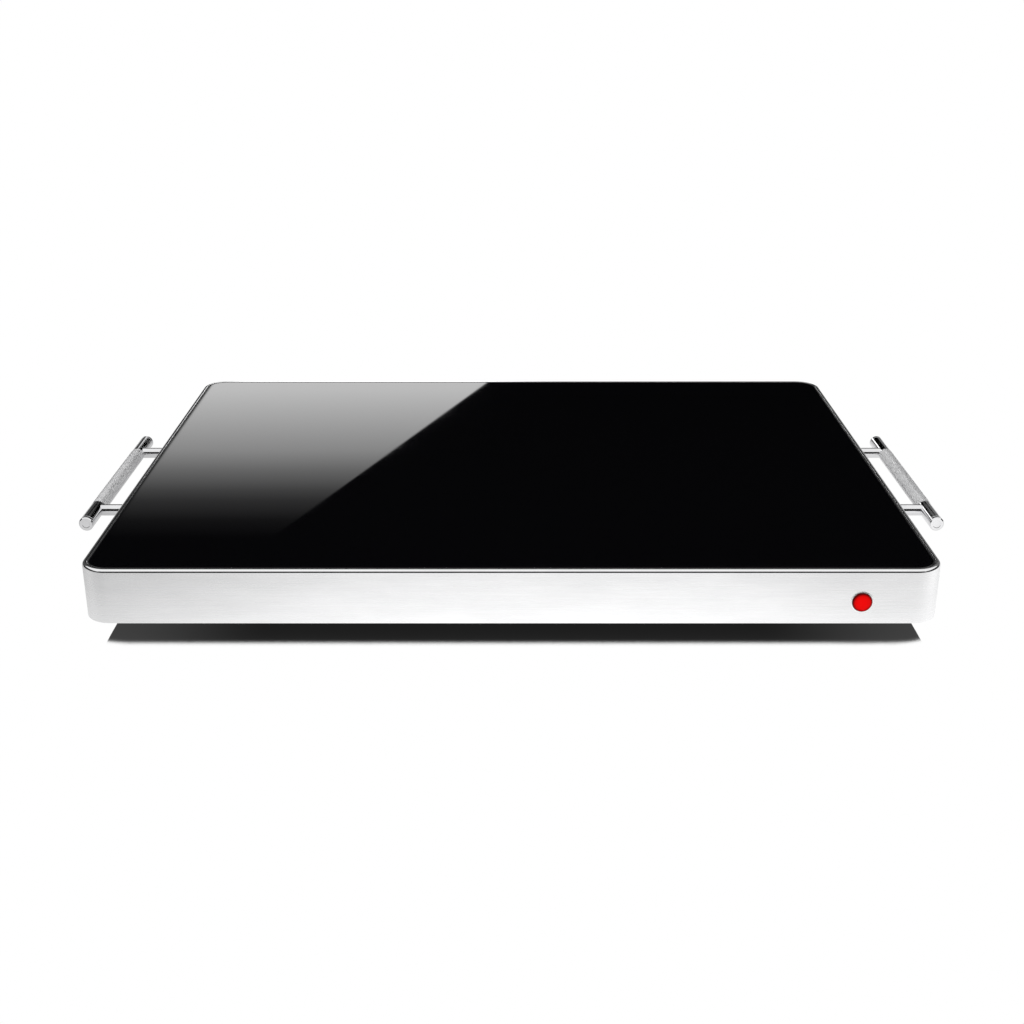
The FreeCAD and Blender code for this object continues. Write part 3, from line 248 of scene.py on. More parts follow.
class Net:
    """A node tree that is wired in few words."""

    def __init__(self, tree):
        self.tree = tree

    def add(self, kind, inputs=None, **settings):
        """Add a node, set its properties, and wire or fill its inputs."""
        node = self.tree.nodes.new(kind)
        for name, value in settings.items():
            setattr(node, name, value)
        for key, value in (inputs or {}).items():
            target = node.inputs[key]
            if isinstance(value, bpy.types.NodeSocket):
                self.tree.links.new(value, target)
            else:
                target.default_value = value
        return node

    def maths(self, operation, first, second=None, third=None):
        """Add a maths node and give its output."""
        values = {0: first}
        if second is not None:
            values[1] = second
        if third is not None:
            values[2] = third
        return self.add("ShaderNodeMath", values, operation=operation).outputs[0]

    def run(self, value, start, finish, low=0.0, high=1.0, **settings):
        """Run a value from a start and a finish onto a low and a high, and stop at both."""
        return self.add("ShaderNodeMapRange", {
            "Value": value, "From Min": start, "From Max": finish, "To Min": low, "To Max": high},
                        **settings).outputs[0]

    def ramp(self, value, stops):
        """Add a colour ramp with stops of (place, colour)."""
        node = self.add("ShaderNodeValToRGB", {0: value})
        elements = node.color_ramp.elements
        while len(elements) < len(stops):
            elements.new(0.5)
        for element, (place, colour) in zip(elements, stops):
            element.position = place
            element.color = colour
        return node.outputs[0]

    def mix(self, share, low, high):
        """Mix two plain colours by a share."""
        node = self.add("ShaderNodeMix", {0: share}, data_type="RGBA")
        node.inputs[6].default_value = low
        node.inputs[7].default_value = high
        return node.outputs[2]

    def vector(self, **parts):
        """Join X, Y and Z into a vector."""
        return self.add("ShaderNodeCombineXYZ", parts).outputs[0]

    def place(self):
        """Give the X, Y and Z of the object coordinates."""
        spot = self.add("ShaderNodeTexCoord").outputs["Object"]
        return self.add("ShaderNodeSeparateXYZ", {0: spot}).outputs


def blank(name):
    """Make a material with an empty tree, and the net to wire it."""
    material = bpy.data.materials.new(name)
    material.use_nodes = True
    material.node_tree.nodes.clear()
    return material, Net(material.node_tree)


def grey(level):
    """Give a grey as a colour with full cover."""
    return (level, level, level, 1.0)


KINDS = {float: "NodeSocketFloat", int: "NodeSocketInt"}


def geometry_tree(name, **defaults):
    """Start a geometry tree with named inputs, and give its net and its group inputs."""
    tree = bpy.data.node_groups.new(name, "GeometryNodeTree")
    face = tree.interface
    face.new_socket("Geometry", in_out="INPUT", socket_type="NodeSocketGeometry")
    for title, value in defaults.items():
        made = face.new_socket(title, in_out="INPUT", socket_type=KINDS[type(value)])
        made.default_value = value
    face.new_socket("Material", in_out="INPUT", socket_type="NodeSocketMaterial")
    face.new_socket("Geometry", in_out="OUTPUT", socket_type="NodeSocketGeometry")
    net = Net(tree)
    return net, net.add("NodeGroupInput").outputs


def close_tree(net, given, geometry):
    """End a tree in Realize Instances and Set Material."""
    real = net.add("GeometryNodeRealizeInstances", {0: geometry})
    dressed = net.add("GeometryNodeSetMaterial", {0: real.outputs[0], "Material": given["Material"]})
    net.add("NodeGroupOutput", {0: dressed.outputs[0]})
    return net.tree


def grow(mesh, tree, material, **values):
    """Run a tree on a carrier mesh and give back the plain mesh that comes out."""
    carrier = linked("carrier", mesh)
    modifier = carrier.modifiers.new("grow", "NODES")
    modifier.node_group = tree
    values["Material"] = material
    for item in tree.interface.items_tree:
        if item.in_out == "INPUT" and item.name in values:
            modifier[item.identifier] = values[item.name]
    return plain_mesh(carrier)


def edge_sweep_tree():
    """Sweep a profile round a rounded rectangle. The profile's X runs inwards and its Y up."""
    net, given = geometry_tree("edge_sweep", Width=0.5, Depth=0.4, Corner=0.018, Steps=14)
    path = net.add("GeometryNodeCurvePrimitiveQuadrilateral",
                   {"Width": given["Width"], "Height": given["Depth"]})
    bent = net.add("GeometryNodeFilletCurve", {"Curve": path.outputs[0], "Radius": given["Corner"],
                                               "Count": given["Steps"]}, mode="POLY")
    profile = net.add("GeometryNodeMeshToCurve", {0: given["Geometry"]})
    swept = net.add("GeometryNodeCurveToMesh", {"Curve": bent.outputs[0],
                                                "Profile Curve": profile.outputs[0]})
    return close_tree(net, given, swept.outputs[0])


def fastener_grid_tree():
    """Repeat a fastener over a grid about the origin."""
    net, given = geometry_tree("fastener_grid", Columns=2, Rows=2, Across=0.1, Along=0.1)
    size_x = net.maths("MULTIPLY", given["Across"], net.maths("SUBTRACT", given["Columns"], 1.0))
    size_y = net.maths("MULTIPLY", given["Along"], net.maths("SUBTRACT", given["Rows"], 1.0))
    grid = net.add("GeometryNodeMeshGrid", {"Size X": size_x, "Size Y": size_y,
                                            "Vertices X": given["Columns"],
                                            "Vertices Y": given["Rows"]})
    copies = net.add("GeometryNodeInstanceOnPoints", {"Points": grid.outputs[0],
                                                      "Instance": given["Geometry"]})
    return close_tree(net, given, copies.outputs[0])


def dial_tick_tree():
    """Repeat a tick mark round an arc in the plane of X and Z, every second one smaller."""
    net, given = geometry_tree("dial_ticks", Ticks=11, Sweep=4.7, Radius=0.016, Start=0.0, Minor=0.6)
    points = net.add("GeometryNodePoints", {"Count": given["Ticks"]})
    index = net.add("GeometryNodeInputIndex").outputs[0]
    share = net.maths("DIVIDE", index, net.maths("SUBTRACT", given["Ticks"], 1.0))
    angle = net.maths("MULTIPLY_ADD", share, given["Sweep"], given["Start"])
    spot = net.vector(X=net.maths("MULTIPLY", given["Radius"], net.maths("COSINE", angle)),
                      Z=net.maths("MULTIPLY", given["Radius"], net.maths("SINE", angle)))
    set_out = net.add("GeometryNodeSetPosition", {0: points.outputs[0], "Position": spot})
    turn = net.vector(Y=net.maths("MULTIPLY", angle, -1.0))
    small = net.maths("GREATER_THAN", net.maths("FLOORED_MODULO", index, 2.0), 0.5)
    size = net.maths("ADD", net.maths("MULTIPLY", small, given["Minor"]),
                     net.maths("SUBTRACT", 1.0, small))
    copies = net.add("GeometryNodeInstanceOnPoints", {
        "Points": set_out.outputs[0], "Instance": given["Geometry"],
        "Rotation": turn, "Scale": net.vector(X=size, Y=1.0, Z=size)})
    return close_tree(net, given, copies.outputs[0])


def knurl_tree():
    """Shape a grip sleeve whose skin is raised in diamonds by two crossing spirals, along Y."""
    net, given = geometry_tree("knurled_sleeve", Length=0.1, Radius=0.005, Rise=0.0003,
                               Starts=32, Pitch=0.0016, Fade=0.0012, Around=161, Along=351)
    grid = net.add("GeometryNodeMeshGrid", {"Size X": 1.0, "Size Y": 1.0,
                                            "Vertices X": given["Around"],
                                            "Vertices Y": given["Along"]})
    here = net.add("ShaderNodeSeparateXYZ", {0: net.add("GeometryNodeInputPosition").outputs[0]})
    angle = net.maths("MULTIPLY", here.outputs[0], 2 * math.pi)
    length = net.maths("MULTIPLY", here.outputs[1], given["Length"])
    lead = net.maths("MULTIPLY", net.maths("DIVIDE", length, given["Pitch"]), math.pi)
    turned = net.maths("MULTIPLY", angle, net.maths("DIVIDE", given["Starts"], 2.0))
    one_way = net.maths("ABSOLUTE", net.maths("SINE", net.maths("ADD", turned, lead)))
    other_way = net.maths("ABSOLUTE", net.maths("SINE", net.maths("SUBTRACT", turned, lead)))
    raised = net.maths("MULTIPLY", net.maths("MULTIPLY", one_way, other_way), given["Rise"])
    to_end = net.maths("MULTIPLY", net.maths("SUBTRACT", 0.5, net.maths("ABSOLUTE", here.outputs[1])),
                       given["Length"])
    fade = net.run(to_end, 0.0, given["Fade"])
    reach = net.maths("ADD", net.maths("SUBTRACT", given["Radius"], given["Rise"]),
                      net.maths("MULTIPLY", raised, fade))
    spot = net.vector(X=net.maths("MULTIPLY", reach, net.maths("SINE", angle)), Y=length,
                      Z=net.maths("MULTIPLY", reach, net.maths("COSINE", angle)))
    skin = net.add("GeometryNodeSetPosition", {0: grid.outputs[0], "Position": spot})
    joined = net.add("GeometryNodeMergeByDistance", {0: skin.outputs[0], "Distance": 0.00001})
    both = net.add("GeometryNodeJoinGeometry")
    net.tree.links.new(given["Geometry"], both.inputs[0])
    net.tree.links.new(joined.outputs[0], both.inputs[0])
    return close_tree(net, given, both.outputs[0])


# Shader groups that several finishes share

def shader_group(name, inputs, outputs):
    """Start a shader group with named inputs and outputs."""
    tree = bpy.data.node_groups.new(name, "ShaderNodeTree")
    for title, value in inputs.items():
        made = tree.interface.new_socket(title, in_out="INPUT", socket_type="NodeSocketFloat")
        made.default_value = value
    for title in outputs:
        tree.interface.new_socket(title, in_out="OUTPUT", socket_type="NodeSocketFloat")
    net = Net(tree)
    return net, net.add("NodeGroupInput").outputs


def stretched(net, across, along, upright):
    """Scale object coordinates by three numbers."""
    spot = net.add("ShaderNodeTexCoord").outputs["Object"]
    return net.add("ShaderNodeVectorMath", {0: spot, 1: net.vector(X=across, Y=along, Z=upright)},
                   operation="MULTIPLY").outputs[0]


def brushing_group():
    """Level grain that runs round the tray: long sideways, a fraction of a millimetre high."""
    net, given = shader_group("brushing", {"Length": 30.0, "Fineness": 4200.0}, ("Grain", "Band"))
    fine = net.add("ShaderNodeTexNoise", {
        "Vector": stretched(net, given["Length"], given["Length"], given["Fineness"]),
        "Scale": 1.0, "Detail": 4.0, "Roughness": 0.65})
    wide = net.add("ShaderNodeTexNoise", {
        "Vector": stretched(net, 9.0, 9.0, net.maths("MULTIPLY", given["Fineness"], 0.12)),
        "Scale": 1.0, "Detail": 2.0, "Roughness": 0.5})
    net.add("NodeGroupOutput", {"Grain": fine.outputs[0], "Band": wide.outputs[0]})
    return net.tree


def smudge_group():
    """Faint wiped marks."""
    net, given = shader_group("smudges", {"Scale": 9.0}, ("Wiped",))
    wiped = net.add("ShaderNodeTexNoise", {"Vector": stretched(net, 1.0, 1.6, 1.0),
                                           "Scale": given["Scale"], "Detail": 5.0,
                                           "Roughness": 0.6, "Distortion": 1.2})
    net.add("NodeGroupOutput", {"Wiped": wiped.outputs[0]})
    return net.tree


def grain_group():
    """Fine moulded or cast grain with a slow mottle."""
    net, given = shader_group("moulded_grain", {"Scale": 2200.0}, ("Grain", "Mottle"))
    place = stretched(net, 1.0, 1.0, 1.0)
    fine = net.add("ShaderNodeTexNoise", {"Vector": place, "Scale": given["Scale"], "Detail": 3.0})
    slow = net.add("ShaderNodeTexNoise", {"Vector": place, "Scale": 40.0, "Detail": 3.0})
    net.add("NodeGroupOutput", {"Grain": fine.outputs[0], "Mottle": slow.outputs[0]})
    return net.tree


BRUSHING = brushing_group()
SMUDGES = smudge_group()
GRAIN = grain_group()


# Finishes

class Finish:
    """A material with one Principled shader and short ways to wire it."""

    def __init__(self, name, colour, roughness, metallic=0.0, **uniform):
        self.material, self.net = blank(name)
        self.shader = self.net.add("ShaderNodeBsdfPrincipled", {
            "Base Color": (*colour, 1.0), "Roughness": roughness, "Metallic": metallic})
        for title, value in uniform.items():
            self.shader.inputs[title.replace("_", " ")].default_value = value
        self.net.add("ShaderNodeOutputMaterial", {0: self.shader.outputs[0]})

    def group(self, tree, **values):
        """Place a shared group with its own values."""
        return self.net.add("ShaderNodeGroup", values, node_tree=tree).outputs

    def vary(self, mask, low, high):
        """Give a number that runs from low to high with a mask about its middle."""
        return self.net.run(mask, 0.3, 0.7, low, high)

    def feed(self, output, title):
        """Link an output to the shader's socket of a title."""
        self.net.tree.links.new(output, self.shader.inputs[title])

    def roughen(self, mask, low, high):
        """Drive roughness by a mask."""
        self.feed(self.vary(mask, low, high), "Roughness")

    def tint(self, mask, low, high):
        """Drive base colour between two colours by a mask."""
        self.feed(self.net.mix(self.vary(mask, 0.0, 1.0), (*low, 1.0), (*high, 1.0)), "Base Color")

    def bump(self, height, distance, strength=1.0):
        """Feed a height to the normal."""
        node = self.net.add("ShaderNodeBump", {"Height": height, "Distance": distance,
                                               "Strength": strength})
        self.feed(node.outputs[0], "Normal")


def brushed_steel():
    """Level-brushed stainless of the skirt, buffed bright along the rolled rim."""
    finish = Finish("brushed_stainless", (0.8, 0.8, 0.81), 0.26, 1.0)
    marks = finish.group(BRUSHING)
    net = finish.net
    below_rim = net.run(net.place()["Z"], TOP - LIP_ROUND, TOP - 1.2 * LIP_ROUND)
    cloud = net.add("ShaderNodeTexNoise", {"Vector": stretched(net, 26.0, 26.0, 90.0), "Scale": 1.0,
                                           "Detail": 3.0, "Roughness": 0.6})
    mark = net.maths("MULTIPLY_ADD", cloud.outputs[0], 0.5, net.maths("MULTIPLY", marks["Grain"], 0.5))
    finish.tint(mark, (0.79, 0.79, 0.795), (0.88, 0.88, 0.885))
    brushed = finish.vary(marks["Band"], 0.2, 0.24)
    finish.feed(net.maths("MULTIPLY_ADD", below_rim, brushed, 0.05), "Roughness")
    finish.bump(net.maths("MULTIPLY", below_rim, marks["Grain"]), 0.00001, 0.5)
    return finish.material


def polished_steel():
    """Bright turned stainless of the handle ends and posts."""
    finish = Finish("polished_stainless", (0.82, 0.82, 0.83), 0.1, 1.0)
    marks = finish.group(SMUDGES, Scale=40.0)
    finish.roughen(marks["Wiped"], 0.06, 0.16)
    finish.tint(marks["Wiped"], (0.74, 0.74, 0.75), (0.86, 0.86, 0.87))
    return finish.material


def knurled_steel():
    """Knurled stainless of the grips, with its roughness varied by a fine grain."""
    finish = Finish("knurled_stainless", (0.84, 0.84, 0.85), 0.34, 1.0)
    marks = finish.group(GRAIN, Scale=900.0)
    finish.tint(marks["Mottle"], (0.78, 0.78, 0.79), (0.9, 0.9, 0.905))
    finish.roughen(marks["Grain"], 0.3, 0.42)
    return finish.material


def black_glass():
    """Black glass ceramic with faint wiped marks."""
    finish = Finish("black_glass", (0.002, 0.002, 0.0025), 0.03, 0.0)
    marks = finish.group(SMUDGES, Scale=7.0)
    finish.roughen(marks["Wiped"], 0.012, 0.03)
    return finish.material


def grained(name, colour, roughness, spread=0.25, scale=2200.0, depth=0.00002, metallic=0.0, **uniform):
    """A moulded, cast or coated finish with fine grain and a slow mottle."""
    finish = Finish(name, colour, roughness, metallic, **uniform)
    marks = finish.group(GRAIN, Scale=scale)
    dark = tuple(value * (1 - spread) for value in colour)
    light = tuple(min(1.0, value * (1 + spread)) for value in colour)
    finish.tint(marks["Mottle"], dark, light)
    finish.roughen(marks["Mottle"], roughness * 0.85, roughness * 1.15)
    finish.bump(marks["Grain"], depth, 0.6)
    return finish.material


LENS_RADIUS = (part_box("pilot_lamp_lens")[1].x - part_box("pilot_lamp_lens")[0].x) / 2
# Red light that leaves the lens at shares of its radius
LENS_GLOW = ((0.0, 0.42), (0.55, 0.36), (0.8, 0.2), (0.93, 0.02))
LENS_RED = (0.62, 0.0, 0.0, 1.0)
# Painted shade: the lens colour darkens to this red towards its rim
LENS_PAINTED_SHADE_RED = (0.06, 0.0, 0.0, 1.0)


def red_lens():
    """Clear red moulding, lit from within, with painted shade darkening its colour where it turns into
    its bezel.
    """
    finish = Finish("red_lens", (0.75, 0.0, 0.0), 0.3, 0.0, Specular_IOR_Level=0.05,
                    Emission_Strength=1.0)
    net = finish.net
    middle = centre_of("pilot_lamp_lens")
    spot = net.add("ShaderNodeTexCoord").outputs["Object"]
    offset = net.add("ShaderNodeVectorMath", {0: spot, 1: (middle.x, 0.0, middle.z)},
                     operation="SUBTRACT").outputs[0]
    flat = net.add("ShaderNodeVectorMath", {0: offset, 1: (1.0, 0.0, 1.0)},
                   operation="MULTIPLY").outputs[0]
    reach = net.add("ShaderNodeVectorMath", {0: flat}, operation="LENGTH").outputs["Value"]
    glow = [(share, (level, 0.0, 0.0, 1.0)) for share, level in LENS_GLOW]
    finish.feed(net.ramp(net.maths("MULTIPLY", reach, 1.0 / LENS_RADIUS), glow), "Emission Color")
    # Painted shade: the base colour darkens towards the rim of the lens
    painted_rim_shade = net.run(reach, 0.72 * LENS_RADIUS, 0.97 * LENS_RADIUS)
    finish.feed(net.mix(painted_rim_shade, LENS_RED, LENS_PAINTED_SHADE_RED), "Base Color")
    return finish.material


FINISHES = {
    "black_glass": black_glass(),
    "brushed_steel": brushed_steel(),
    "polished_steel": polished_steel(),
    "knurled_steel": knurled_steel(),
    "satin_steel": grained("satin_steel", (0.93, 0.93, 0.93), 0.45, 0.04, 400.0, metallic=1.0),
    "silicone": grained("black_silicone", (0.012, 0.012, 0.013), 0.45),
    "black_paint": grained("black_enamel", (0.014, 0.014, 0.015), 0.38, scale=1400.0, depth=0.00003),
    "foot_rubber": grained("foot_rubber", (0.016, 0.016, 0.016), 0.75, scale=1800.0),
    "zinc_steel": grained("zinc_plate", (0.6, 0.61, 0.63), 0.3, 0.12, 300.0, metallic=1.0),
    "aluminium": grained("mill_aluminium", (0.82, 0.82, 0.83), 0.35, 0.08, 600.0, metallic=1.0),
    "mica": grained("pressed_mica", (0.52, 0.44, 0.32), 0.55, 0.35, 300.0),
    "fibre": grained("ceramic_fibre", (0.82, 0.81, 0.77), 0.95, 0.1, 1200.0, 0.0003),
    "resistance_alloy": grained("resistance_alloy", (0.4, 0.39, 0.37), 0.4, 0.2, 500.0, metallic=1.0),
    "knob_plastic": grained("knob_plastic", (0.02, 0.02, 0.021), 0.5, scale=2600.0, depth=0.00003),
    "phenolic": grained("phenolic", (0.04, 0.035, 0.03), 0.35),
    "brass": grained("bare_brass", (0.78, 0.58, 0.26), 0.28, 0.12, 400.0, metallic=1.0),
    "red_lens": red_lens(),
    "bulb_glass": grained("bulb_glass", (0.9, 0.86, 0.84), 0.05, 0.05, 100.0, depth=0.0,
                          Transmission_Weight=0.9),
    "porcelain": grained("glazed_porcelain", (0.86, 0.85, 0.81), 0.2, 0.05, 500.0, Coat_Weight=0.5),
    "red_wire": grained("red_wire", (0.5, 0.03, 0.025), 0.5),
    "white_wire": grained("white_wire", (0.8, 0.8, 0.78), 0.5, 0.06),
    "green_wire": grained("green_wire", (0.08, 0.36, 0.1), 0.5),
    "dial_print": grained("dial_print", (0.03, 0.03, 0.032), 0.5, 0.1),
    "pointer_white": grained("pointer_white", (0.85, 0.85, 0.83), 0.4, 0.05),
}


def dress_frame():
    """Give every carried-over CAD node its procedural finish."""
    for name, node in frame["nodes"].items():
        finish = FINISHES[slot_of(name)]
        if not node.material_slots:
            node.data.materials.append(finish)
        for slot in node.material_slots:
            slot.material = finish


# Surround, glass and bead

def arc(middle, radius, start, finish, steps):
    """List points on an arc, ends included, with angles in degrees."""
    points = []
    for step in range(steps + 1):
        angle = math.radians(start + (finish - start) * step / steps)
        points.append((middle[0] + radius * math.cos(angle), middle[1] + radius * math.sin(angle)))
    return points


def loop_mesh(points):
    """Make a closed ring of edges in the plane of X and Y."""
    mesh = bpy.data.meshes.new("profile")
    total = len(points)
    edges = [(index, (index + 1) % total) for index in range(total)]
    mesh.from_pydata([(x, y, 0.0) for x, y in points], edges, [])
    return mesh


def swept_edge(profile, material):
    """Sweep a profile of (inset, height) round the tray's outline."""
    mesh = grow(loop_mesh([(-inset, -height) for inset, height in profile]), EDGE_SWEEP, material,
                Width=WIDTH, Depth=DEPTH, Corner=CORNER_RADIUS, Steps=CORNER_STEPS)
    shape = bmesh.new()
    shape.from_mesh(mesh)
    bmesh.ops.recalc_face_normals(shape, faces=shape.faces)
    shape.to_mesh(mesh)
    shape.free()
    mesh.transform(ABOUT_TRAY)
    return mesh


CORNER_STEPS = 20
HEM_ROUND = 0.4 * MM
LIP_EDGE_ROUND = 0.15 * MM


FIT = 0.1 * MM
CUTTER_HALF = 2.0 * MM


def opening(node, wall, outline):
    """Shape the cutter of an opening in the front or rear wall behind a CAD node."""
    middle = centre_of(node)
    place = along_y(Vector((middle.x, wall, middle.z)))
    return stack([(outline, -CUTTER_HALF), (outline, CUTTER_HALF)], place)


def make_surround():
    """Roll the steel skirt: hem, brushed face, rounded rim, joggle, ledge and bottom flange."""
    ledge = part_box("glass_seal")[0].z
    profile = []
    profile += arc((HEM_ROUND, SKIRT_FOOT + HEM_ROUND), HEM_ROUND, 270, 180, 3)
    profile += arc((LIP_ROUND, TOP - LIP_ROUND), LIP_ROUND, 180, 90, 8)
    profile += arc((LIP_WIDTH - LIP_EDGE_ROUND, TOP - LIP_EDGE_ROUND), LIP_EDGE_ROUND, 90, 0, 4)
    profile += [
        (LIP_WIDTH, ledge),
        (LIP_WIDTH + LEDGE_WIDTH, ledge),
        (LIP_WIDTH + LEDGE_WIDTH, ledge - SHEET),
        (LIP_WIDTH - SHEET, ledge - SHEET),
        (LIP_WIDTH - SHEET, TOP - SHEET),
        (SHEET, TOP - SHEET),
        (SHEET, SKIRT_FOOT + SHEET),
        (FLANGE_WIDTH, SKIRT_FOOT + SHEET),
        (FLANGE_WIDTH, SKIRT_FOOT),
    ]
    finish = FINISHES["brushed_steel"]
    front, rear = MIDDLE.y - DEPTH / 2, MIDDLE.y + DEPTH / 2
    inlet = [size + 2 * FIT for size in INLET_BODY]
    openings = [
        opening("pilot_lamp_lens", front, ring(LAMP_TUBE / 2 + FIT)),
        opening("control_knob", rear, ring(BUSHING / 2 + FIT)),
        opening("inlet_housing", rear, rounded(*inlet, MM, 4)),
    ]
    shell = cut(swept_edge(profile, finish), openings)
    keep("surround_shell", shell, TRAY, "steel_surround", finish, smooth=30)


def make_glass():
    """Lay the glass plate with its pencilled edge."""
    low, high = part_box("glass_top")
    inset = LIP_WIDTH + SEAL_WIDTH
    shoulder = high.z - GLASS_BEVEL
    levels = [(inset, low.z), (inset, shoulder)]
    levels += [(inset + GLASS_BEVEL - back, height) for back, height in
               arc((0.0, shoulder), GLASS_BEVEL, 0, 90, 5)[1:]]
    mesh = plates(WIDTH, DEPTH, CORNER_RADIUS, levels, ABOUT_TRAY, CORNER_STEPS)
    keep("glass_plate", mesh, TRAY, "glass_top", FINISHES["black_glass"], smooth=30)


def make_bead():
    """Lay the silicone bead between rim and glass."""
    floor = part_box("glass_seal")[0].z
    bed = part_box("glass_top")[0].z
    outer, inner = LIP_WIDTH, LIP_WIDTH + SEAL_WIDTH
    brim = TOP - SEAL_DROP
    sag = 0.15 * MM
    profile = [
        (outer, floor),
        (outer, brim),
        (outer + 0.2 * MM, brim - sag * 0.8),
        ((outer + inner) / 2, brim - sag),
        (inner - 0.15 * MM, brim - sag * 1.2),
        (inner, brim - 0.3 * MM),
        (inner, bed),
        (LIP_WIDTH + SEAL_BED, bed),
        (LIP_WIDTH + SEAL_BED, floor),
    ]
    finish = FINISHES["silicone"]
    keep("glass_bead", swept_edge(profile, finish), TRAY, "glass_seal", finish, smooth=40)


# Handles

BORE_GAP = 0.05 * MM
KNURL_RISE = 0.2 * MM
SLEEVE_CHAMFER = 0.3 * MM
CAP_CHAMFER = 0.7 * MM


def half_length(node):
    """Find half of a CAD node's length along Y."""
    low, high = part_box(node)
    return (high.y - low.y) / 2


def radius_of(node):
    """Find the radius of a round CAD node from its width."""
    low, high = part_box(node)
    return (high.x - low.x) / 2


def make_grip(side, middle, bore):
    """Knurl the sleeve of a handle, with plain chamfered ends."""
    node = f"{side}_grip_sleeve"
    radius, reach = radius_of(node), half_length(node)
    end = radius - KNURL_RISE
    profile = [(bore, 0.0), (bore, reach), (end - SLEEVE_CHAMFER, reach), (end, reach - 0.05 * MM)]
    origin = Vector((0, 0, 0))
    collars = [uncapped(lathe(profile, along_y(origin, way), SLEEVE_STEPS)) for way in (1, -1)]
    finish = FINISHES["knurled_steel"]
    skin = grow(merged(collars), KNURL, finish, Length=2 * reach, Radius=radius, Rise=KNURL_RISE)
    skin.transform(Matrix.Translation(middle))
    keep(f"{side}_knurled_grip", skin, TRAY, node, finish, smooth=0)


def make_ends(side, middle, bore):
    """Polish the two tubes outside the grip of a handle."""
    node = f"{side}_end_tubes"
    radius, inner, outer = radius_of(node), half_length(f"{side}_grip_sleeve"), half_length(node)
    edge = 0.3 * MM
    profile = [
        (bore, inner), (radius - edge, inner), (radius, inner + edge),
        (radius, outer - edge), (radius - edge, outer), (bore, outer),
    ]
    tubes = [lathe(profile, along_y(middle, way), BAR_STEPS, closed=True) for way in (1, -1)]
    keep(f"{side}_polished_ends", merged(tubes), TRAY, node, FINISHES["polished_steel"], smooth=25)


def make_caps(side, middle):
    """Turn the two caps of a handle, each with a shallow dish."""
    node = f"{side}_end_caps"
    radius, inner, outer = radius_of(node), half_length(f"{side}_end_tubes"), half_length(node)
    edge, dish = 0.15 * MM, 0.12 * MM
    profile = [
        (radius - edge, inner), (radius, inner + edge),
        (radius, outer - CAP_CHAMFER), (radius - CAP_CHAMFER, outer),
        (radius * 0.55, outer), (radius * 0.5, outer - dish), (radius * 0.1, outer - dish),
    ]
    caps = [lathe(profile, along_y(middle, way), BAR_STEPS) for way in (1, -1)]
    keep(f"{side}_turned_caps", merged(caps), TRAY, node, FINISHES["polished_steel"], smooth=25)


def make_posts(side, sign, height):
    """Turn the two posts of a handle, each necked where it meets the skirt."""
    node = f"{side}_handle_posts"
    low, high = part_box(node)
    near = low.x if sign > 0 else high.x
    half = POST_DIAMETER / 2
    neck = half - 0.5 * MM
    profile = [(neck, 0.0), (neck, 0.35 * MM), (half, 0.6 * MM), (half, high.x - low.x)]
    posts = [lathe(profile, along_x(Vector((near, row, height)), sign))
             for row in (low.y + half, high.y - half)]
    keep(f"{side}_turned_posts", merged(posts), TRAY, node, FINISHES["polished_steel"], smooth=25)


def make_handle(side, sign):
    """Dress one T-bar handle: knurled sleeve, end tubes, caps and posts."""
    middle = centre_of(f"{side}_grip_sleeve")
    bore = radius_of(f"{side}_handle_core") + BORE_GAP
    make_grip(side, middle, bore)
    make_ends(side, middle, bore)
    make_caps(side, middle)
    make_posts(side, sign, middle.z)


def uncapped(mesh):
    """Delete the round caps of a turned mesh."""
    shape = bmesh.new()
    shape.from_mesh(mesh)
    caps = [face for face in shape.faces if len(face.verts) > 4]
    bmesh.ops.delete(shape, geom=caps, context="FACES")
    shape.to_mesh(mesh)
    shape.free()
    return mesh


# Pilot lamp

def make_lamp():
    """Mould the faceted red lens, with painted shade darkening it at its bezel lip."""
    low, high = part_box("pilot_lamp_lens")
    middle = front_of("pilot_lamp_lens")
    radius = LENS_RADIUS
    reach = MIDDLE.y - DEPTH / 2 - low.y
    tube, tube_end = LAMP_TUBE / 2, high.y - low.y
    profile = [
        (tube - 0.9 * MM, tube_end), (tube, tube_end), (tube, reach), (radius - 0.1 * MM, reach),
        (radius, reach - 0.15 * MM), (radius, reach * 0.5), (radius - 0.35 * MM, reach * 0.24),
        (radius - 0.9 * MM, reach * 0.14), (radius * 0.72, reach * 0.05), (radius * 0.36, 0.0),
    ]
    shell = lathe(profile, along_y(middle), LENS_FACETS)
    keep("lamp_lens", shell, TRAY, "pilot_lamp_lens", FINISHES["red_lens"], smooth=12)
    collar = [
        (radius - 0.2 * MM, reach), (radius + 0.75 * MM, reach),
        (radius + 0.7 * MM, reach - 0.15 * MM), (radius + 0.2 * MM, reach - 0.3 * MM),
        (radius - 0.2 * MM, reach - 0.3 * MM),
    ]
    keep("lamp_collar", lathe(collar, along_y(middle), BAR_STEPS, closed=True), TRAY, None,
         FINISHES["satin_steel"], smooth=30)


# Control knob and dial

KNOB_FLUTES = 18
FLUTE_DEPTH = 0.65 * MM
KNOB_RECESS = (9.5 * MM, 5.0 * MM)
SHAFT_BORE = 3.05 * MM
DIAL_MARKS = 6
DIAL_SWEEP = math.radians(270)
DIAL_RADIUS = 14.2 * MM
INK = 0.02 * MM


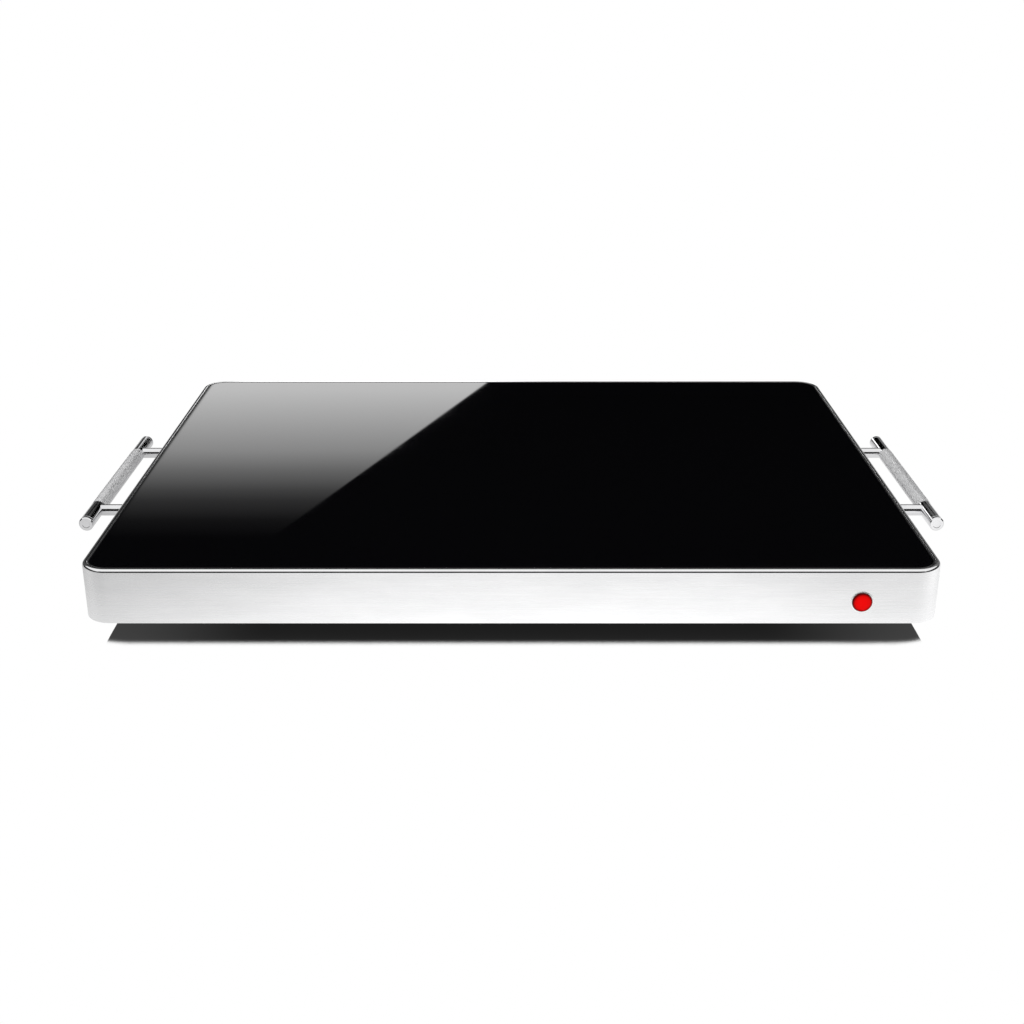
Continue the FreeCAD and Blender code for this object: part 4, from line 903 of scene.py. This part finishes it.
def make_knob():
    """Mould the fluted knob with its skirt and pointer line."""
    low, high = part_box("control_knob")
    middle = front_of("control_knob")
    radius = (high.x - low.x) / 2
    depth = high.y - low.y
    steps = KNOB_FLUTES * STEPS_PER_FLUTE
    wave = FLUTE_DEPTH
    recess, recess_depth = KNOB_RECESS
    levels = [
        (ring(SHAFT_BORE, steps), recess_depth),
        (ring(recess, steps), recess_depth),
        (ring(recess, steps), 0.0),
        (ring(radius - 0.3 * MM, steps), 0.0),
        (ring(radius, steps), 0.3 * MM),
        (ring(radius, steps), 2.2 * MM),
        (ring(radius - 0.4 * MM, steps), 2.7 * MM),
        (ring(radius - 0.5 * MM, steps, wave, KNOB_FLUTES), 3.4 * MM),
        (ring(radius - 0.9 * MM, steps, wave, KNOB_FLUTES), depth - 1.4 * MM),
        (ring(radius - 1.2 * MM, steps, wave * 0.7, KNOB_FLUTES), depth - 0.7 * MM),
        (ring(radius - 1.9 * MM, steps, wave * 0.2, KNOB_FLUTES), depth - 0.15 * MM),
        (ring(radius - 2.8 * MM, steps), depth),
        (ring(radius - 3.4 * MM, steps), depth),
        (ring(radius - 3.9 * MM, steps), depth - 0.35 * MM),
        (ring(radius * 0.2, steps), depth - 0.35 * MM),
    ]
    keep("fluted_knob", stack(levels, along_y(middle)), DIAL, "control_knob",
         FINISHES["knob_plastic"], smooth=28)
    spot = Vector((middle.x, high.y - 0.5 * MM, middle.z + 4.6 * MM))
    bar = plates(1.5 * MM, 5.6 * MM, 0.7 * MM, [(0.0, 0.0), (0.0, 0.3 * MM)], along_y(spot), 4)
    keep("knob_pointer", bar, DIAL, None, FINISHES["pointer_white"], smooth=30)


def number_mesh(text, size, middle):
    """Print a plain number as thin raised ink on the rear face, read from behind."""
    curve = bpy.data.curves.new("number", "FONT")
    curve.body = text
    curve.size = size
    curve.align_x = "CENTER"
    curve.align_y = "CENTER"
    curve.extrude = INK
    mesh = plain_mesh(linked("number", curve))
    mesh.transform(Matrix.Translation(middle) @ Matrix.Rotation(math.pi, 4, "Z")
                   @ Matrix.Rotation(math.pi / 2, 4, "X"))
    return mesh


def make_dial():
    """Print the dial round the knob: ticks over three quarters of a turn and plain numbers."""
    middle = centre_of("control_knob")
    rear = MIDDLE.y + DEPTH / 2 + INK
    ink = FINISHES["dial_print"]
    tick = plates(1.6 * MM, 0.45 * MM, 0.15 * MM, [(0.0, -INK), (0.0, INK)],
                  Matrix.Rotation(-math.pi / 2, 4, "X"), 3)
    ticks = grow(tick, DIAL_TICKS, ink, Ticks=2 * DIAL_MARKS - 1, Sweep=DIAL_SWEEP,
                 Start=math.radians(90), Radius=DIAL_RADIUS)
    ticks.transform(Matrix.Translation((middle.x, rear, middle.z)))
    prints = [ticks]
    for index in range(DIAL_MARKS):
        angle = math.radians(90) + DIAL_SWEEP * index / (DIAL_MARKS - 1)
        spot = Vector((middle.x + 17.2 * MM * math.cos(angle), rear,
                       middle.z + 16.4 * MM * math.sin(angle)))
        if abs(spot.z - middle.z) < 15.0 * MM:
            prints.append(number_mesh(str(index), 3.2 * MM, spot))
    keep("dial_print", merged(prints), TRAY, None, ink, smooth=0)


# Inlet

def make_inlet():
    """Mould the inlet: flange with round corners, recessed mouth and body."""
    low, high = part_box("inlet_housing")
    middle = front_of("inlet_housing")
    width, height = high.x - low.x, high.z - low.z
    face = MIDDLE.y + DEPTH / 2 - low.y
    rim = high.y - low.y
    body = rounded(*INLET_BODY, 1.0 * MM, 6)
    mouth_width, mouth_height = INLET_MOUTH
    mouth = rounded(mouth_width, mouth_height, 1.8 * MM, 6)
    levels = [
        (body, 0.0),
        (body, face),
        (rounded(width, height, 3.0 * MM, 6), face),
        (rounded(width, height, 3.0 * MM, 6), rim - 0.8 * MM),
        (rounded(width - 0.5 * MM, height - 0.5 * MM, 2.8 * MM, 6), rim - 0.25 * MM),
        (rounded(width - 1.6 * MM, height - 1.6 * MM, 2.4 * MM, 6), rim),
        (rounded(mouth_width + 1.4 * MM, mouth_height + 1.4 * MM, 2.4 * MM, 6), rim),
        (mouth, rim - 0.7 * MM),
        (mouth, rim - INLET_MOUTH_DEPTH),
    ]
    keep("inlet_moulding", stack(levels, along_y(middle)), TRAY, "inlet_housing",
         FINISHES["knob_plastic"], smooth=30)


# Pan, feet and screws

def make_pan():
    """Press the bottom pan and punch its vents."""
    low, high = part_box("bottom_pan")
    steel = high.z - (low.z + PAN_DROP)
    flange, step = PAN_FLANGE, PAN_STEP
    soft = 0.8 * MM
    levels = [
        (step + steel + soft, low.z + steel),
        (step + steel, high.z - steel * 0.2),
        (step + steel - soft, high.z),
        (flange + 0.2 * MM, high.z),
        (flange, high.z - 0.2 * MM),
        (flange, high.z - steel + 0.2 * MM),
        (flange + 0.2 * MM, high.z - steel),
        (step - soft, high.z - steel),
        (step - soft * 0.3, high.z - steel - soft * 0.3),
        (step + soft * 0.3, low.z + soft * 0.6),
        (step + soft, low.z),
    ]
    pressed = plates(WIDTH, DEPTH, CORNER_RADIUS, levels, ABOUT_TRAY, 10)
    finish = FINISHES["black_paint"]
    vent = plates(VENT_WIDTH, VENT_LENGTH, 0.49 * VENT_WIDTH,
                  [(0.0, low.z - CUTTER_HALF), (0.0, low.z + 2.5 * MM)], ABOUT_TRAY, 4)
    vents = grow(vent, FASTENER_GRID, finish, Columns=VENT_COUNT, Rows=2, Across=VENT_PITCH,
                 Along=2 * VENT_ROW)
    keep("pressed_pan", cut(pressed, [vents]), TRAY, "bottom_pan", finish, smooth=30)


def cross_head(radius, height, shank, length):
    """Model one cross-recess screw, head down, its seat at the origin."""
    profile = [
        (shank * 0.6, length), (shank, length - 0.5 * MM), (shank, 0.0), (radius, 0.0),
        (radius, -height * 0.35), (radius * 0.86, -height * 0.78), (radius * 0.6, -height * 0.97),
        (radius * 0.5, -height),
    ]
    mesh = lathe(profile, None, SCREW_STEPS)
    levels = [(0.0, -height * 1.2), (0.0, -height * 0.4)]
    slots = [plates(radius, radius * 0.22, radius * 0.05, levels, Matrix.Rotation(turn, 4, "Z"), 2)
             for turn in (0.0, math.pi / 2)]
    return cut(mesh, slots)


def cut(mesh, cutters):
    """Cut meshes out of a mesh with the exact solver."""
    piece = linked("cut", mesh)
    tools = [linked("tool", cutter) for cutter in cutters]
    for tool in tools:
        modifier = piece.modifiers.new("cut", "BOOLEAN")
        modifier.object = tool
        modifier.solver = "EXACT"
    return plain_mesh(piece, *tools)


def screw_grid(name, node, columns, rows, head_height, seat, head, shank, length):
    """Repeat one screw over the places of a CAD screw group."""
    low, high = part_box(node)
    middle = (low + high) / 2
    across = (high.x - low.x - head) / (columns - 1)
    along = (high.y - low.y - head) / (rows - 1)
    one = cross_head(head / 2, head_height, shank / 2, length)
    finish = FINISHES["zinc_steel"]
    mesh = grow(one, FASTENER_GRID, finish, Columns=columns, Rows=rows, Across=across, Along=along)
    mesh.transform(Matrix.Translation((middle.x, middle.y, seat)))
    keep(name, mesh, TRAY, node, finish, smooth=30)


def make_underside():
    """Set the feet and the screws under the tray."""
    pan_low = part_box("bottom_pan")[0].z
    low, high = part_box("feet")
    radius = FOOT_DIAMETER / 2
    profile = [
        (FOOT_RECESS, FOOT_RECESS_DEPTH), (FOOT_RECESS, 0.5 * MM), (FOOT_RECESS + 0.6 * MM, 0.0),
        (FOOT_TREAD - 0.9 * MM, 0.0), (FOOT_TREAD - 0.1 * MM, 0.8 * MM),
        (radius - 0.2 * MM, high.z - 0.6 * MM), (radius - 0.6 * MM, high.z),
    ]
    foot = lathe(profile, None, FOOT_STEPS)
    finish = FINISHES["foot_rubber"]
    mesh = grow(foot, FASTENER_GRID, finish, Columns=2, Rows=2,
                Across=high.x - low.x - 2 * radius, Along=high.y - low.y - 2 * radius)
    mesh.transform(ABOUT_TRAY)
    keep("rubber_feet", mesh, TRAY, "feet", finish, smooth=30)
    screw_grid("foot_fixings", "foot_screws", columns=2, rows=2, head_height=2.4 * MM,
               seat=FOOT_RECESS_DEPTH, head=8.0 * MM, shank=4.0 * MM, length=11.0 * MM)
    screw_grid("pan_fixings", "pan_screws", columns=4, rows=2, head_height=1.9 * MM,
               seat=pan_low + PAN_DROP, head=6.6 * MM, shank=3.5 * MM, length=8.0 * MM)


# Floor, light and camera

def ray_kind(net):
    """Give 1 for rays that show the backdrop: camera, glossy and transmission rays."""
    path = net.add("ShaderNodeLightPath").outputs
    both = net.maths("MAXIMUM", path["Is Camera Ray"], path["Is Glossy Ray"])
    return net.maths("MAXIMUM", both, path["Is Transmission Ray"])


SHADOW_REACH = 24.0 * MM
SHADOW_HALF = WIDTH / 2 - 12.2 * MM
SHADOW_SHIFT = 1.9 * MM
# Brightness of the floor by how open it is above, from closed to free
SHADOW_LEVELS = ((0.0, 0.009), (0.5, 0.018), (0.6, 0.1), (0.7, 1.0))
SHADOW_END_LIFT = 0.035
FLOOR_HALF = 6.0
FLOOR_DROP = 0.2 * MM


def floor_level(net):
    """Give the floor's brightness: dark where the tray closes it in, paler towards the ends."""
    shade = net.add("ShaderNodeAmbientOcclusion", {"Distance": SHADOW_REACH}, samples=32)
    aside = net.maths("ABSOLUTE", net.maths("SUBTRACT", net.place()["X"], SHADOW_SHIFT))
    past_end = net.run(aside, SHADOW_HALF - 0.5 * MM, SHADOW_HALF + 0.5 * MM)
    near_end = net.run(aside, 0.6 * SHADOW_HALF, SHADOW_HALF, 0.0, SHADOW_END_LIFT,
                       interpolation_type="SMOOTHSTEP")
    opened = net.maths("ADD", shade.outputs["AO"], past_end)
    level = net.ramp(opened, [(share, grey(bright)) for share, bright in SHADOW_LEVELS])
    return net.maths("MINIMUM", net.maths("ADD", level, near_end), 1.0)


def make_floor():
    """Lay a white floor that shows plain white and keeps the object's own shadow."""
    material, net = blank("studio_floor")
    shown = net.add("ShaderNodeEmission", {"Strength": floor_level(net)})
    lit = net.add("ShaderNodeBsdfDiffuse", {0: grey(0.8)})
    mixed = net.add("ShaderNodeMixShader", {0: ray_kind(net), 1: lit.outputs[0], 2: shown.outputs[0]})
    net.add("ShaderNodeOutputMaterial", {0: mixed.outputs[0]})
    floor = sheet("studio_floor", material, level_card(0, -FLOOR_HALF, FLOOR_HALF, FLOOR_HALF))
    floor.location.z = -FLOOR_DROP


def sheet(name, material, corners):
    """Stand a flat sheet of four corners in the studio."""
    mesh = bpy.data.meshes.new(name)
    mesh.from_pydata(corners, [], [(0, 1, 2, 3)])
    mesh.materials.append(material)
    return linked(name, mesh)


def level_card(height, near, far, reach):
    """List the corners of a level card, between two rows and as far to both sides."""
    return [(-reach, near, height), (reach, near, height), (reach, far, height), (-reach, far, height)]


# A card behind the tray, that its glass reflects, and dark cards in front and at the sides
FLAG_ROW = 1.291
FLAG_TOP = 1.3
FLAG_REACH = 2.6
FRONT_ROW = -2.5
FRONT_TOP = 2.3
SIDE_TOP = 1.6
CARD_FOOT = 0.02
DARK = 0.02
# The lit part of the card: its right edge and its left edge, as (X, Z) points
LIT_RIGHT = ((-0.039, 0.3726), (-0.419, 0.6556))
LIT_LEFT = ((-0.505, 0.3759), (-0.757, 0.7108))
# Light of the lit part by height
LIT_LEVELS = ((0.388, 2.25), (0.433, 1.86), (0.496, 1.3), (0.533, 0.72), (0.57, 0.29),
              (0.589, 0.15), (0.626, 0.03), (0.66, 0.0))
LIT_SOFTNESS = 2.0 * MM
# The grey that only the handles and the rim see: beside the lit part and above it
BAR_GREY_LEFT = 0.07
BAR_GREY_RIGHT = 0.16
BAR_GAP = 0.03
BAR_SOFTNESS = 0.02
BAR_TURN = 0.2
GLASS_SEES = 0.7195
ABOVE_SOFTNESS = 2.0 * MM
# The pale floor in front of the tray, as the brushed face sees it
FLOOR_CARD_GAP = 0.35
FLOOR_CARD_REACH = 1.0
FAR_FLOOR_HEIGHT = 1.0 * MM
NEAR_FLOOR_HEIGHT = 0.8 * MM
DIM_LEFT = (-0.4, -0.02, 0.55, 1.0)
DIM_RIGHT = (0.12, 0.26, 1.0, 0.86)
BRIGHT_FOOT = (0.0, 0.12, 1.33, 1.0)


def side_of(net, place, line):
    """Give how far a point of the card lies to the right of a line, in metres."""
    (low_x, low_z), (high_x, high_z) = line
    slope = (high_x - low_x) / (high_z - low_z)
    edge = net.maths("MULTIPLY_ADD", net.maths("SUBTRACT", place["Z"], low_z), slope, low_x)
    return net.maths("SUBTRACT", place["X"], edge)


def hang_card(name, material, corners):
    """Hang a card that only reflections see."""
    card = sheet(name, material, corners)
    card.visible_camera = False
    card.visible_diffuse = False
    card.visible_shadow = False
    card.visible_transmission = False


def upright(row, high):
    """List the corners of an upright card across the studio."""
    return [(-FLAG_REACH, row, CARD_FOOT), (FLAG_REACH, row, CARD_FOOT), (FLAG_REACH, row, high),
            (-FLAG_REACH, row, high)]


def glowing(name, paint):
    """Make a material that gives off as much light as its painting function says."""
    material, net = blank(name)
    shine = net.add("ShaderNodeEmission", {"Strength": paint(net)})
    net.add("ShaderNodeOutputMaterial", {0: shine.outputs[0]})
    return material


def flag_light(net):
    """Paint the card behind: a lit slanted part, and grey where only handles and rim see it."""
    place = net.place()
    glow = net.ramp(place["Z"], [(height, grey(level)) for height, level in LIT_LEVELS])
    from_left = side_of(net, place, LIT_LEFT)
    left_of_edge = net.run(side_of(net, place, LIT_RIGHT), LIT_SOFTNESS, -LIT_SOFTNESS)
    right_of_end = net.run(from_left, -LIT_SOFTNESS, LIT_SOFTNESS)
    lit = net.maths("MULTIPLY", left_of_edge, right_of_end)
    beyond_left = net.run(from_left, -BAR_GAP, -BAR_GAP - BAR_SOFTNESS, 0.0, BAR_GREY_LEFT)
    mirrored = tuple((-x, z) for x, z in LIT_LEFT)
    beyond_right = net.run(side_of(net, place, mirrored), BAR_GAP, BAR_GAP + BAR_SOFTNESS, 0.0,
                           BAR_GREY_RIGHT)
    aside = net.run(place["X"], -BAR_TURN, BAR_TURN, BAR_GREY_LEFT, BAR_GREY_RIGHT)
    above = net.run(place["Z"], GLASS_SEES, GLASS_SEES + ABOVE_SOFTNESS, 0.0, aside)
    beyond = net.maths("MAXIMUM", beyond_left, beyond_right)
    return net.maths("MULTIPLY_ADD", glow, lit, net.maths("MAXIMUM", beyond, above))


def near_floor_light(net):
    """Paint the near floor: dimmer to both sides, brighter by the foot of the front face."""
    place = net.place()
    from_left = net.run(place["X"], *DIM_LEFT, interpolation_type="SMOOTHSTEP")
    to_right = net.run(place["X"], *DIM_RIGHT, interpolation_type="SMOOTHSTEP")
    off_face = net.maths("ABSOLUTE", net.maths("SUBTRACT", place["Y"], MIDDLE.y - DEPTH / 2))
    sideways = net.maths("MULTIPLY", from_left, to_right)
    return net.maths("MULTIPLY", sideways, net.run(off_face, *BRIGHT_FOOT))


def make_cards():
    """Hang the black flag with its lit part behind the tray, and grey and dark cards in front."""
    hang_card("studio_flag", glowing("studio_flag", flag_light), upright(FLAG_ROW, FLAG_TOP))
    dark = glowing("studio_dark_card", lambda net: DARK)
    hang_card("studio_dark_card", dark, upright(FRONT_ROW, FRONT_TOP))
    for side, column in (("left", -FLAG_REACH), ("right", FLAG_REACH)):
        hang_card(f"studio_{side}_card", dark, [
            (column, FRONT_ROW, CARD_FOOT), (column, FLAG_ROW, CARD_FOOT),
            (column, FLAG_ROW, SIDE_TOP), (column, FRONT_ROW, SIDE_TOP)])
    far_row = MIDDLE.y - DEPTH / 2 - FLOOR_CARD_GAP
    hang_card("studio_far_floor", dark, level_card(FAR_FLOOR_HEIGHT, FRONT_ROW, far_row, FLAG_REACH))
    hang_card("studio_near_floor", glowing("studio_near_floor", near_floor_light),
              level_card(NEAR_FLOOR_HEIGHT, far_row, FLAG_ROW, FLOOR_CARD_REACH))


ROOM_LIGHT = 0.55
OVERHEAD_SIZE = (1.6, 1.2)
OVERHEAD_POWER = 14.0
OVERHEAD_PLACE = (-0.3, -0.4, 1.5)


def make_world():
    """Light the room softly, and show plain white behind the object."""
    world = bpy.data.worlds.new("studio")
    bpy.context.scene.world = world
    world.use_nodes = True
    world.node_tree.nodes.clear()
    net = Net(world.node_tree)
    soft = net.add("ShaderNodeBackground", {0: grey(1.0), 1: ROOM_LIGHT})
    shown = net.add("ShaderNodeBackground", {0: grey(1.0), 1: 1.0})
    mixed = net.add("ShaderNodeMixShader", {0: ray_kind(net), 1: soft.outputs[0], 2: shown.outputs[0]})
    net.add("ShaderNodeOutputWorld", {0: mixed.outputs[0]})


def make_lights():
    """Hang one large soft light over the tray."""
    lamp = bpy.data.lights.new("overhead", "AREA")
    lamp.shape = "RECTANGLE"
    lamp.size, lamp.size_y = OVERHEAD_SIZE
    lamp.energy = OVERHEAD_POWER
    light = linked("overhead", lamp)
    light.location = OVERHEAD_PLACE
    light.rotation_euler = (-light.location).to_track_quat("-Z", "Y").to_euler()
    light.visible_glossy = False


CAMERA_BACK = 0.7805
CAMERA_RISE = 0.3511
CAMERA_SIDE = 0.0004
CAMERA_PITCH = math.radians(21.83)
LENS = 49.25
FILM_WIDTH = 36.0


def make_camera():
    """Stand the camera at the photograph's viewing angle."""
    data = bpy.data.cameras.new("studio_camera")
    data.lens = LENS
    data.sensor_width = FILM_WIDTH
    camera = linked("studio_camera", data)
    camera.location = (MIDDLE.x + CAMERA_SIDE, MIDDLE.y - DEPTH / 2 - CAMERA_BACK, TOP + CAMERA_RISE)
    camera.rotation_euler = (math.pi / 2 - CAMERA_PITCH, 0.0, 0.0)
    bpy.context.scene.camera = camera


EDGE_SWEEP = edge_sweep_tree()
FASTENER_GRID = fastener_grid_tree()
DIAL_TICKS = dial_tick_tree()
KNURL = knurl_tree()

make_camera()
dress_frame()
make_surround()
make_glass()
make_bead()
make_handle("left", -1)
make_handle("right", 1)
make_lamp()
make_knob()
make_dial()
make_inlet()
make_pan()
make_underside()
make_floor()
make_cards()
make_world()
make_lights()
bpy.context.scene.view_settings.view_transform = "Standard"
